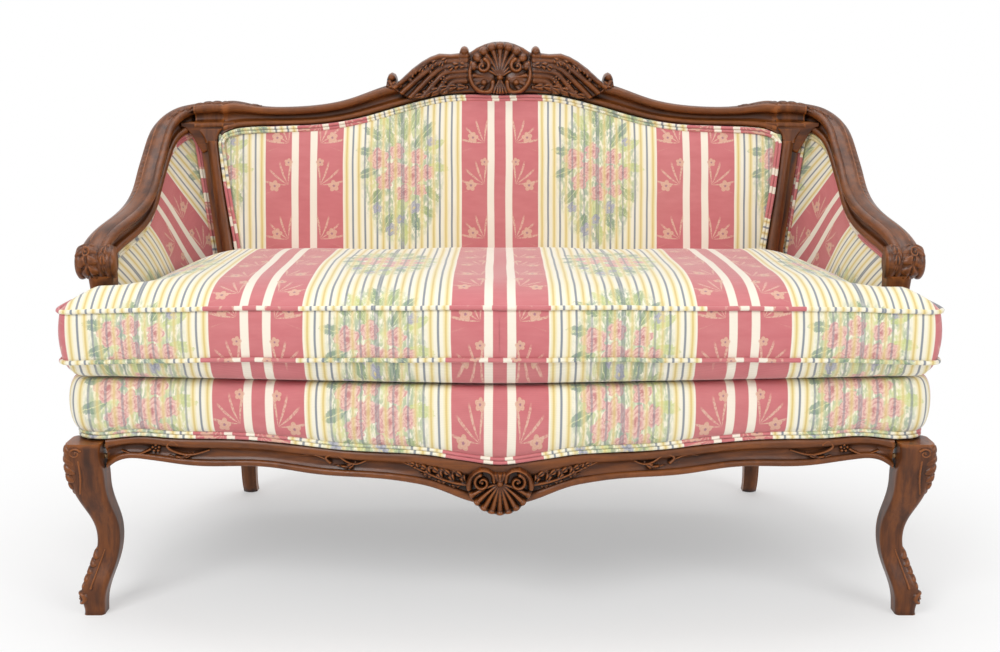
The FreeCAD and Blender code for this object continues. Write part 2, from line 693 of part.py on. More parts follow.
def build():
    parts = {}
    # Frame, cut so that each rail ends on the piece that it is jointed to.
    leg, post = front_leg(), arm_post()
    upright = stile().fuse(stile_block()).removeSplitter()
    crest = without(crest_rail(), upright, mirrored(upright))
    carved = without(cresting(), crest)
    shell_y = back_y(0, 850) - FRAME_FACE - 4
    crest_shell = main_body(without(boss((0, shell_y, 855), 50, 17, 48), crest, carved))
    apron = without(front_rail(), leg, mirrored(leg))
    apron_shell = main_body(without(boss((0, apron_y(0) - 1, 222), 52, 15, 41), apron))
    arm = main_body(without(arm_rail(), upright))
    rear_rail = main_body(without(back_bar(RAIL_LOW_Z, RAIL_TOP_Z, 520, 28), upright, mirrored(upright)))
    side = main_body(without(side_rail(), leg, upright, apron, rear_rail))
    post = main_body(without(post, arm, side, apron, leg))
    tack_rail = main_body(without(arm_tack_rail(), post, upright))
    lower_back_rail = main_body(without(back_bar(372, 402, 520, 22), upright, mirrored(upright)))
    apron, crest = main_body(apron), main_body(crest)

    crest_pins = [dowel((CREST_END_X, back_y(CREST_END_X, z) + 2, z), (1, 0, 0), 40, 3.5) for z in (756, 774)]
    apron_pins = [dowel((617, -270, z), (1, 0, 0), 46) for z in (256, 274)]
    rear_pins = [dowel((486, back_y(486, z), z), (1, 0, 0), 40) for z in (264, 298)]
    side_pins = [dowel((643, -252, z), (0, 1, 0), 44) for z in (255, 281)]
    arm_pins = [dowel((580, 289, 765), (1, 0, 0), 30, 3.5)]
    pins = crest_pins + apron_pins + rear_pins + side_pins + arm_pins
    # Corner blocks and their screws
    front_block = corner_block(626, -252, -72, 72)
    rear_block = corner_block(480, back_y(480, 285) - 16, -60, -60)
    front_screws = [screw((592, -215, z), (0.707, -0.707, 0), 52) for z in (274, 290)]
    rear_screws = [screw((448, back_y(480, 285) - 49, z), (0.707, 0.707, 0), 48) for z in (280, 300)]
    screws = front_screws + rear_screws
    blocks = [main_body(without(front_block, apron, leg, side, *pins, *screws)),
              main_body(without(rear_block, rear_rail, upright, side, *pins, *screws))]
    leg = main_body(without(leg, *pins, *screws))
    upright = main_body(without(upright, *pins, *screws))
    side = main_body(without(side, *pins, *screws))
    arm = main_body(without(arm, *pins))
    dowels = pins + [mirrored(p) for p in pins]
    all_screws = screws + [mirrored(p) for p in screws]
    crest = main_body(without(crest, *dowels))
    apron = main_body(without(apron, *dowels, *all_screws))
    rear_rail = main_body(without(rear_rail, *dowels, *all_screws))
    brace_end, brace_start = back_y(0, 290) - 10.0, apron_y(0) + APRON_DEPTH - 6.0
    brace = Part.makeBox(44, brace_end - brace_start, 34, V(-22, brace_start, 262))
    brace = main_body(without(brace, apron, rear_rail))

    parts["crest_rail"] = crest
    parts["crest_carving"] = carved
    parts["crest_shell"] = crest_shell
    parts["front_seat_rail"] = apron
    parts["apron_shell"] = apron_shell
    parts["rear_seat_rail"] = rear_rail
    parts["lower_back_rail"] = lower_back_rail
    parts["seat_brace"] = brace
    parts["corner_blocks"] = Part.makeCompound(blocks + [mirrored(b) for b in blocks])
    parts["corner_block_screws"] = Part.makeCompound(all_screws)
    parts["frame_dowels"] = Part.makeCompound(dowels)
    for name, piece in (("stile_and_rear_leg", upright), ("arm_rail", arm), ("arm_post", post), ("front_leg", leg),
                        ("side_seat_rail", side), ("arm_tack_rail", tack_rail)):
        for hand, shape in both(piece).items():
            parts[f"{name}_{hand}"] = shape

    # Springing
    springs = [spring(x) for x in SPRING_X]
    clips = []
    for x, coil in zip(SPRING_X, springs):
        for y in (apron_y(x) + 20.0, back_y(x, RAIL_TOP_Z) - 2.0):
            clips.append(only_solids(without(spring_clip(x, y), coil)))
    parts["zigzag_springs"] = Part.makeCompound(springs)
    parts["spring_clips"] = Part.makeCompound(clips)
    burlap = cover_face(lambda s, v: deck_point(s, v, 1.0, DECK_Z - 326.5), shares(9), shares(5))
    parts["spring_burlap"] = burlap.extrude(V(0, 0, 1.2))

    # Deck, its pad and the roll along its front
    posts = both(post).values()
    skin = cover_face(deck_point, shares(11), shares(7))
    pad = cover_face(lambda s, v: deck_point(s, v, 0.5, CLOTH + 0.01), shares(11), shares(7))
    border = front_border()
    parts["deck_front_roll"] = border
    parts["deck_cover"] = main_body(without(skin.extrude(V(0, 0, -CLOTH)), border, *posts))
    parts["deck_padding"] = main_body(without(pad.extrude(V(0, 0, -50)), border, *posts, upright, mirrored(upright)))
    parts["seat_welt"] = seat_welt()

    # Inside back and wings
    uprights = [upright, mirrored(upright)]
    skin = cover_face(back_point, shares(17), shares(9))
    parts["back_cover"] = main_body(without(skin.extrude(V(0, CLOTH, 0)), *uprights))
    pad = cover_face(lambda s, v: back_point(s, v, 0.03, CLOTH + 0.5), shares(17), shares(9))
    parts["back_padding"] = main_body(without(pad.extrude(V(0, 23, 0)), crest, lower_back_rail))
    parts["back_webbing"] = webbing()
    parts["back_welt"] = Part.makeCompound([main_body(without(c, *uprights)) for c in back_welt().Solids])
    out = V(0.83, 0.56, 0)
    side_cover = cover_face(side_point, shares(13), shares(9)).extrude(out * CLOTH)
    pad = cover_face(lambda s, v: side_point(s, v, 0.05, CLOTH + 2.0), shares(13), shares(9))
    frame = [upright, arm, post]
    wing = main_body(without(side_cover, *frame))
    wing_pad = main_body(without(pad.extrude(out * 14), *frame, tack_rail, outside_arm(2.0, 12.0)))
    wing_cords = Part.makeCompound([main_body(without(c, *frame)) for c in side_welt().Solids])
    shell = main_body(without(outside_arm(), *frame, side))
    for name, piece in (("wing_cover", wing), ("wing_padding", wing_pad), ("wing_welt", wing_cords),
                        ("outside_arm_cover", shell)):
        for hand, shape in both(piece).items():
            parts[f"{name}_{hand}"] = shape
    parts["outside_back_cover"] = main_body(without(outside_back(), crest, upright, mirrored(upright)))
    dust = cover_face(lambda s, v: deck_point(s, v, 1.0, DECK_Z - 246.0), shares(9), shares(5))
    parts["dust_cover"] = main_body(without(dust.extrude(V(0, 0, -1.0)), apron, rear_rail))

    # Loose cushion
    whole, filling = cushion_body(), cushion_body(CLOTH)
    skin = whole.cut(filling)
    parts["cushion_filling"] = filling
    parts["cushion_top_panel"] = skin.common(slab(CUSHION_TOP_PIPING_Z, 600))
    parts["cushion_boxing"] = main_body(skin.common(slab(CUSHION_LOW_PIPING_Z, CUSHION_TOP_PIPING_Z)))
    parts["cushion_bottom_panel"] = skin.common(slab(300, CUSHION_LOW_PIPING_Z))
    parts["cushion_top_piping"] = without(cushion_piping(CUSHION_TOP_PIPING_Z), whole)
    parts["cushion_bottom_piping"] = without(cushion_piping(CUSHION_LOW_PIPING_Z), whole)
    parts["cushion_zipper"] = main_body(without(zipper(), whole))
    return parts


def main():
    os.makedirs("parts", exist_ok=True)
    for name, shape in build().items():
        shape = only_solids(shape)
        shape.translate(V(0, FOOTPRINT_SHIFT, 0))
        shape.exportStep(os.path.join("parts", name + ".step"))
        print(f"{name:28s} solids {len(shape.Solids)} valid {shape.isValid()} volume {shape.Volume / 1000:9.1f} cm3")


main()
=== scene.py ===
"""Looks of a two-seat cabriole sofa: carved walnut, striped floral brocade and a loose T-shaped cushion.

Tables and shape functions are in millimetres about the middle of the seat, as the frame is drawn.
place() moves their points to the frame's origin and into metres.
"""
import math
import bpy
import numpy as np
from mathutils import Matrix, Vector
from mathutils.geometry import delaunay_2d_cdt


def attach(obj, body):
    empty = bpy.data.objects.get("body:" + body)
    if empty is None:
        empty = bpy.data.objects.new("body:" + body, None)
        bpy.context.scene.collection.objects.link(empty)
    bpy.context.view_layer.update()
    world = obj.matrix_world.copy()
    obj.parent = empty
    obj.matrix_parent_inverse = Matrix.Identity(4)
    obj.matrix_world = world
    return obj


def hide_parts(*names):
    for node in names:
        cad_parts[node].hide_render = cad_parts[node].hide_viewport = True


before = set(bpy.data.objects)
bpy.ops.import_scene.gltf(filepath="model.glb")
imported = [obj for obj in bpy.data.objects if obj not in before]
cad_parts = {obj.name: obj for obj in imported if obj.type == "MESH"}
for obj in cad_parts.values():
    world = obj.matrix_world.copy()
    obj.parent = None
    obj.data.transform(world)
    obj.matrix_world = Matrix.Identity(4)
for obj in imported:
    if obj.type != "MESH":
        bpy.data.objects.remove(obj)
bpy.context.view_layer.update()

SHIFT_Y = 8.8
FRONT_Y = -305.0

CREST_LOW = [(0, 806), (60, 807), (116, 803), (193, 784), (269, 763), (345, 751), (421, 748), (500, 744), (530, 733)]
CREST_HIGH = [(0, 852), (60, 851), (116, 844), (193, 828), (240, 814), (291, 796), (348, 785), (405, 781),
              (461, 784), (530, 790)]
CRESTING = [(0, 908), (29, 902), (72, 893), (117, 881), (146, 873), (175, 856), (213, 833), (245, 812)]
STILE_X = [(0, 514), (90, 512), (190, 509), (270, 508), (350, 508), (484, 516), (628, 537), (720, 548)]
ARM_LINE = [(578, 288, 764), (600, 275, 760), (618, 250, 749), (629, 222, 731), (633, 190, 706), (634, 157, 680),
            (634, 123, 655), (632, 88, 633), (631, 45, 614), (632, -5, 600), (636, -60, 589), (642, -115, 578),
            (646, -150, 566), (648, -176, 551)]
ARM_SIZE = (40.0, 42.0)
APRON_LOW = [(0, 196), (40, 199), (76, 212), (122, 227), (190, 235), (262, 236), (310, 240), (356, 246), (475, 244),
             (545, 253), (590, 255), (618, 236)]
APRON_LINE = [(0, 260), (60, 267), (120, 275), (245, 278), (320, 284), (400, 288), (497, 288), (560, 292), (618, 286)]
CUSHION_OUTLINE = [(0, -372, 900), (330, -345, 900), (600, -318, 400), (667, -316, 24), (667, -210, 22),
                   (592, -210, 10), (586, -40, 300), (572, 100, 200), (548, 160, 100), (490, 200, 36), (0, 220, 900)]
CUSHION_LOW, CUSHION_LOW_PIPING, CUSHION_TOP_PIPING, CUSHION_CROWN = 386.0, 416.0, 494.0, 530.0

REPEAT = 0.374            # width of one repeat of the cloth's stripes, in metres
BOUQUET_SHIFT = 165.0     # height of a bouquet's middle on a cloth whose v starts at 0, in millimetres


# Shape functions

def smooth(knots, at):
    """Value at a place on a smooth line through (place, value) knots; it is flat past the last knot."""
    if at <= knots[0][0]:
        return float(knots[0][1])
    if at >= knots[-1][0]:
        return float(knots[-1][1])
    i = max(k for k in range(len(knots) - 1) if knots[k][0] <= at)

    def slope(k):
        if k <= 0 and knots[0][0] == 0:
            return 0.0
        lo, hi = max(k - 1, 0), min(k + 1, len(knots) - 1)
        return (knots[hi][1] - knots[lo][1]) / (knots[hi][0] - knots[lo][0])

    (a, va), (b, vb) = knots[i], knots[i + 1]
    width, t = b - a, (at - a) / (b - a)
    return (va * (2 * t ** 3 - 3 * t ** 2 + 1) + vb * (3 * t ** 2 - 2 * t ** 3)
            + slope(i) * width * (t ** 3 - 2 * t ** 2 + t) + slope(i + 1) * width * (t ** 3 - t ** 2))


def back_y(x, z):
    return 260.0 + 0.15 * (z - 350.0) - 45.0 * (x / 550.0) ** 2


def apron_y(x):
    reach = min(abs(x) / 560.0, 1.0)
    return FRONT_Y + 20.0 - 50.0 * math.cos(reach * math.pi / 2) ** 2


class Line:
    """Cubic spline through points, run by a parameter from 0 to 1."""

    def __init__(self, points):
        self.p = np.array(points, float)
        steps = np.linalg.norm(np.diff(self.p, axis=0), axis=1)
        self.t = np.concatenate([[0.0], np.cumsum(steps)])
        self.length = self.t[-1]
        n, h = len(self.p), steps
        a, r = np.eye(n), np.zeros_like(self.p)
        for i in range(1, n - 1):
            a[i, i - 1:i + 2] = h[i - 1], 2 * (h[i - 1] + h[i]), h[i]
            r[i] = 6 * ((self.p[i + 1] - self.p[i]) / h[i] - (self.p[i] - self.p[i - 1]) / h[i - 1])
        self.m = np.linalg.solve(a, r)

    def at(self, share):
        s = np.clip(np.asarray(share, float), 0, 1) * self.length
        k = np.clip(np.searchsorted(self.t, s, side="right") - 1, 0, len(self.t) - 2)
        h = (self.t[k + 1] - self.t[k])[..., None]
        a = (self.t[k + 1] - s)[..., None]
        b = (s - self.t[k])[..., None]
        return (self.m[k] * a ** 3 + self.m[k + 1] * b ** 3) / (6 * h) \
            + (self.p[k] / h - self.m[k] * h / 6) * a + (self.p[k + 1] / h - self.m[k + 1] * h / 6) * b

    def along(self, share):
        lo, hi = np.clip(np.asarray(share) - 1e-3, 0, 1), np.clip(np.asarray(share) + 1e-3, 0, 1)
        d = self.at(hi) - self.at(lo)
        return d / np.linalg.norm(d, axis=-1, keepdims=True)


ARM = Line(ARM_LINE)
UP = np.array([0.0, 0.0, 1.0])


def arm_frame(t):
    along = ARM.along(t)
    inward = np.cross(along, UP)
    inward /= np.linalg.norm(inward)
    up = np.cross(inward, along)
    return ARM.at(t), inward, up / np.linalg.norm(up)


def noise1(x, seed=0.0):
    """Smooth pseudo-random wave, within -1..1."""
    x = np.asarray(x, float)
    return (np.sin(x * 1.0 + seed) + 0.6 * np.sin(x * 2.17 + 1.3 + seed * 1.7)
            + 0.4 * np.sin(x * 4.31 + 0.5 + seed * 2.3)) / 2.0


# Meshes

def place(points):
    return (np.asarray(points, float) + (0.0, SHIFT_Y, 0.0)) * 0.001


def make(name, points, faces, uv=None, body="frame", material=None, replaces=(), flip=False):
    """Mesh from points in millimetres; uv is one (u, v) in metres for each point."""
    mesh = bpy.data.meshes.new(name)
    co = place(points)
    if flip:
        faces = [tuple(reversed(f)) for f in faces]
    mesh.from_pydata([tuple(c) for c in co], [], [tuple(int(i) for i in f) for f in faces])
    mesh.polygons.foreach_set("use_smooth", [True] * len(mesh.polygons))
    if uv is not None:
        layer = mesh.uv_layers.new(name="UVMap")
        index = np.zeros(len(mesh.loops), dtype=np.int32)
        mesh.loops.foreach_get("vertex_index", index)
        layer.data.foreach_set("uv", np.asarray(uv, np.float32)[index].ravel())
    mesh.update()
    piece = bpy.data.objects.new(name, mesh)
    bpy.context.scene.collection.objects.link(piece)
    if material:
        mesh.materials.append(material)
    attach(piece, body)
    if replaces:
        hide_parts(*replaces)
    return piece


def grid_faces(rows, cols, wrap=False):
    faces = []
    for i in range(rows - 1):
        for j in range(cols if wrap else cols - 1):
            a, b = i * cols + j, i * cols + (j + 1) % cols
            faces.append((a, b, b + cols, a + cols))
    return faces


def cord(name, route, radius, material, body="frame", u0=0.0, closed=False, replaces=()):
    """Round cord through a route of points, covered in cloth whose stripes meet those of the panel beside it."""
    p = np.array(route, float)
    n = len(p)
    ahead = np.roll(p, -1, axis=0) - p
    if closed:
        tangent = ahead + np.roll(ahead, 1, axis=0)
        ring = n
    else:
        tangent = np.gradient(p, axis=0)
        ring = n
    tangent /= np.linalg.norm(tangent, axis=1, keepdims=True)
    side = np.zeros_like(p)
    ref = np.array([0.0, 0.0, 1.0]) if abs(tangent[0][2]) < 0.9 else np.array([1.0, 0.0, 0.0])
    for i in range(n):
        ref = ref - tangent[i] * np.dot(ref, tangent[i])
        ref /= np.linalg.norm(ref)
        side[i] = ref
    other = np.cross(tangent, side)
    sides = 12
    step = np.linalg.norm(np.diff(p, axis=0), axis=1)
    run = np.concatenate([[0.0], np.cumsum(step)])
    angles = np.arange(sides) * 2 * math.pi / sides
    points, uv = [], []
    for i in range(ring):
        r = radius * (1 + 0.035 * noise1(run[i] / 9.0, u0))
        for a in angles:
            points.append(p[i] + r * (math.cos(a) * side[i] + math.sin(a) * other[i]))
            uv.append((u0 + (p[i][0] + 0.9 * (p[i][2] - p[0][2])) * 0.001, p[i][2] * 0.001 + radius * 0.0012 * a + 0.31))
    faces = grid_faces(ring, sides, wrap=True)
    if closed:
        last = (ring - 1) * sides
        faces += [(last + j, last + (j + 1) % sides, (j + 1) % sides, j) for j in range(sides)]
    else:
        faces.append(tuple(range(sides))[::-1])
        faces.append(tuple((ring - 1) * sides + j for j in range(sides)))
    return make(name, points, faces, uv, body, material, replaces)


def resample(points, spacing, closed=False):
    p = np.array(points, float)
    if closed:
        p = np.vstack([p, p[:1]])
    run = np.concatenate([[0.0], np.cumsum(np.linalg.norm(np.diff(p, axis=0), axis=1))])
    count = max(int(round(run[-1] / spacing)), 3)
    at = np.linspace(0, run[-1], count + 1)
    if closed:
        at = at[:-1]
    return np.stack([np.interp(at, run, p[:, k]) for k in range(p.shape[1])], axis=1)


def rounded(corners, step=4.0):
    """Closed outline with rounded corners, as points."""
    pts = [np.array(c[:2], float) for c in corners]
    out = []
    n = len(pts)
    for i in range(n):
        a, b, c = pts[i - 1], pts[i], pts[(i + 1) % n]
        before, after = a - b, c - b
        lb, la = np.linalg.norm(before), np.linalg.norm(after)
        cosine = np.clip(np.dot(before, after) / (lb * la), -1, 1)
        turn = math.pi - math.acos(cosine)
        if turn < 0.002:
            out.append(b)
            continue
        r = min(corners[i][2], 0.45 * min(lb, la) / math.tan(turn / 2))
        cut = r * math.tan(turn / 2)
        p, q = b + before / lb * cut, b + after / la * cut
        mid = before / lb + after / la
        centre = b + mid / np.linalg.norm(mid) * (r / math.cos(turn / 2))
        a0 = math.atan2(*(p - centre)[::-1])
        a1 = math.atan2(*(q - centre)[::-1])
        while a1 - a0 > math.pi:
            a1 -= 2 * math.pi
        while a1 - a0 < -math.pi:
            a1 += 2 * math.pi
        steps = max(int(abs(a1 - a0) * r / step), 3)
        for k in range(steps + 1):
            w = a0 + (a1 - a0) * k / steps
            out.append(centre + r * np.array([math.cos(w), math.sin(w)]))
    return np.array(out)


# Shader building

class Nodes:
    """Short names for the node sums that the materials are written in."""

    def __init__(self, tree):
        self.tree = tree

    def new(self, kind, **settings):
        node = self.tree.nodes.new(kind)
        for key, value in settings.items():
            setattr(node, key, value)
        return node

    def link(self, value, socket):
        if isinstance(value, bpy.types.NodeSocket):
            self.tree.links.new(value, socket)
        else:
            socket.default_value = value

    def math(self, operation, *values, clamp=False):
        node = self.new("ShaderNodeMath", operation=operation, use_clamp=clamp)
        for value, socket in zip(values, node.inputs):
            self.link(value, socket)
        return node.outputs[0]

    def mix(self, factor, a, b, blend="MIX"):
        node = self.new("ShaderNodeMix", data_type="RGBA", blend_type=blend)
        self.link(factor, node.inputs[0])
        self.link(a, node.inputs[6])
        self.link(b, node.inputs[7])
        return node.outputs[2]

    def noise(self, vector, scale, detail=2.0, rough=0.5):
        node = self.new("ShaderNodeTexNoise")
        self.link(vector, node.inputs["Vector"])
        node.inputs["Scale"].default_value = scale
        node.inputs["Detail"].default_value = detail
        node.inputs["Roughness"].default_value = rough
        return node.outputs["Fac"]

    def voronoi(self, vector, scale, feature="F1", randomness=1.0):
        node = self.new("ShaderNodeTexVoronoi", feature=feature)
        self.link(vector, node.inputs["Vector"])
        node.inputs["Scale"].default_value = scale
        node.inputs["Randomness"].default_value = randomness
        return node

    def ramp(self, value, stops, mode="LINEAR"):
        node = self.new("ShaderNodeValToRGB")
        node.color_ramp.interpolation = mode
        elements = node.color_ramp.elements
        while len(elements) < len(stops):
            elements.new(0.5)
        for element, (at, colour) in zip(elements, stops):
            element.position = at
            element.color = (*colour, 1.0) if isinstance(colour, tuple) else (colour, colour, colour, 1.0)
        self.link(value, node.inputs[0])
        return node.outputs[0]

    def scaled(self, vector, scale):
        node = self.new("ShaderNodeMapping")
        self.link(vector, node.inputs["Vector"])
        node.inputs["Scale"].default_value = scale
        return node.outputs[0]

    def bump(self, height, strength, distance, normal=None):
        node = self.new("ShaderNodeBump")
        node.inputs["Strength"].default_value = strength
        node.inputs["Distance"].default_value = distance
        self.link(height, node.inputs["Height"])
        if normal is not None:
            self.link(normal, node.inputs["Normal"])
        return node.outputs[0]

    def band(self, value, centre, half, soft):
        """1 where a value is within half of the centre, with a soft edge."""
        away = self.math("ABSOLUTE", self.math("SUBTRACT", value, centre))
        node = self.new("ShaderNodeMapRange", interpolation_type="SMOOTHSTEP")
        self.link(away, node.inputs["Value"])
        node.inputs["From Min"].default_value = half - soft
        node.inputs["From Max"].default_value = half + soft
        node.inputs["To Min"].default_value = 1.0
        node.inputs["To Max"].default_value = 0.0
        return node.outputs[0]

    def below(self, value, limit, soft):
        node = self.new("ShaderNodeMapRange", interpolation_type="SMOOTHSTEP")
        self.link(value, node.inputs["Value"])
        node.inputs["From Min"].default_value = limit - soft
        node.inputs["From Max"].default_value = limit + soft
        node.inputs["To Min"].default_value = 1.0
        node.inputs["To Max"].default_value = 0.0
        return node.outputs[0]


def material(name):
    mat = bpy.data.materials.new(name)
    mat.use_nodes = True
    nodes = Nodes(mat.node_tree)
    shader = mat.node_tree.nodes["Principled BSDF"]
    return mat, nodes, shader


def rgb(r, g, b):
    """Linear colour of an sRGB colour that is given in 0..255."""
    def linear(c):
        c /= 255.0
        return c / 12.92 if c <= 0.04045 else ((c + 0.055) / 1.055) ** 2.4
    return (linear(r), linear(g), linear(b))


def solid(colour):
    return (*colour, 1.0)


def walnut(name, grain):
    """Polished old walnut; grain is the direction that its figure runs in, as a unit axis."""
    mat, n, shader = material(name)
    where = n.new("ShaderNodeTexCoord").outputs["Object"]
    stretch = tuple(3.0 if g else 34.0 for g in grain)
    fibre = n.scaled(where, stretch)
    figure = n.noise(fibre, 1.6, 4.0, 0.62)
    fine = n.noise(n.scaled(where, tuple(16.0 if g else 420.0 for g in grain)), 1.0, 2.0, 0.6)
    tone = n.ramp(figure, [(0.28, rgb(50, 25, 10)), (0.46, rgb(86, 44, 16)), (0.60, rgb(118, 64, 23)),
                           (0.78, rgb(72, 36, 13))])
    tone = n.mix(n.math("MULTIPLY", fine, 0.35), tone, solid(rgb(38, 19, 8)))
    # Edges found by pointiness are lightened: partly rubbed wear, partly a painted highlight where sharp edges catch
    # the light.
    edge = n.new("ShaderNodeNewGeometry").outputs["Pointiness"]
    rubbed_edge_and_highlight = n.ramp(edge, [(0.505, 0.0), (0.56, 1.0)])
    tone = n.mix(n.math("MULTIPLY", rubbed_edge_and_highlight, 0.6), tone, solid(rgb(160, 92, 38)))
    # Painted shade: ambient occlusion darkens the hollows of the carving and the joins between parts, where shade
    # falls.
    ao = n.new("ShaderNodeAmbientOcclusion", samples=6)
    ao.inputs["Distance"].default_value = 0.011
    painted_recess_shade = n.ramp(ao.outputs["AO"], [(0.35, 1.0), (0.86, 0.0)])
    tone = n.mix(n.math("MULTIPLY", painted_recess_shade, 0.88), tone, solid(rgb(26, 14, 9)))
    n.link(tone, shader.inputs["Base Color"])
    wear = n.noise(n.scaled(where, (14.0, 14.0, 14.0)), 1.0, 3.0)
    n.link(n.ramp(wear, [(0.3, 0.30), (0.75, 0.48)]), shader.inputs["Roughness"])
    shader.inputs["Specular IOR Level"].default_value = 0.30
    shader.inputs["Coat Weight"].default_value = 0.10
    shader.inputs["Coat Roughness"].default_value = 0.20
    n.link(n.bump(fine, 0.25, 0.0004), shader.inputs["Normal"])
    return mat


ROSE_RED, DEEP_RED = rgb(208, 118, 124), rgb(192, 92, 102)
CREAM, WARM_CREAM = rgb(247, 243, 230), rgb(240, 234, 210)
PALE_GOLD, GOLD_LINE, BLUE_LINE = rgb(238, 224, 164), rgb(218, 190, 112), rgb(104, 118, 136)
TAN, PALE_TAN = rgb(214, 168, 138), rgb(230, 204, 176)


def petal_flower(n, u, v, centre, radius, petals, turn, inner, outer, heart, base, lobes=0.16):
    """Paints a flower over the base colour: rings of petals that darken to a heart."""
    x = n.math("SUBTRACT", u, centre[0])
    y = n.math("SUBTRACT", v, centre[1])
    r = n.math("SQRT", n.math("ADD", n.math("MULTIPLY", x, x), n.math("MULTIPLY", y, y)))
    angle = n.math("ARCTAN2", y, x)
    wave = n.math("ABSOLUTE", n.math("SINE", n.math("ADD", n.math("MULTIPLY", angle, petals / 2.0), turn)))
    rim = n.math("MULTIPLY", n.math("ADD", n.math("MULTIPLY", wave, lobes), 1.0 - lobes), radius)
    share = n.math("DIVIDE", r, rim)
    inside = n.below(share, 1.0, 0.05)
    whirl = n.math("FRACT", n.math("ADD", n.math("MULTIPLY", share, 2.6), n.math("MULTIPLY", angle, 0.4775)))
    petal = n.mix(n.ramp(whirl, [(0.0, 0.0), (0.55, 0.75), (0.85, 1.0), (0.98, 0.15)]), solid(inner), solid(outer))
    petal = n.mix(n.below(share, 0.22, 0.1), petal, solid(heart))
    return n.mix(n.math("MULTIPLY", inside, 0.88), base, petal)


def leaf_mark(n, u, v, centre, angle, length, width, colour, vein, base, strength=0.85):
    """Paints a pointed, toothed leaf with a pale vein over the base colour."""
    c, s = math.cos(angle), math.sin(angle)
    x0 = n.math("SUBTRACT", u, centre[0])
    y0 = n.math("SUBTRACT", v, centre[1])
    x = n.math("ADD", n.math("MULTIPLY", x0, c / length), n.math("MULTIPLY", y0, s / length))
    y = n.math("SUBTRACT", n.math("MULTIPLY", y0, c / width), n.math("MULTIPLY", x0, s / width))
    across = n.math("ABSOLUTE", y)
    teeth = n.math("MULTIPLY", n.math("PINGPONG", n.math("SUBTRACT", x, n.math("MULTIPLY", across, 0.3)), 0.09), 1.6)
    swell = n.math("SUBTRACT", 1.0, n.math("ADD", n.math("MULTIPLY", x, x), teeth))
    inside = n.below(n.math("SUBTRACT", across, swell), 0.0, 0.06)
    tone = n.mix(n.below(across, 0.07, 0.04), solid(colour), solid(vein))
    return n.mix(n.math("MULTIPLY", inside, strength), base, tone)


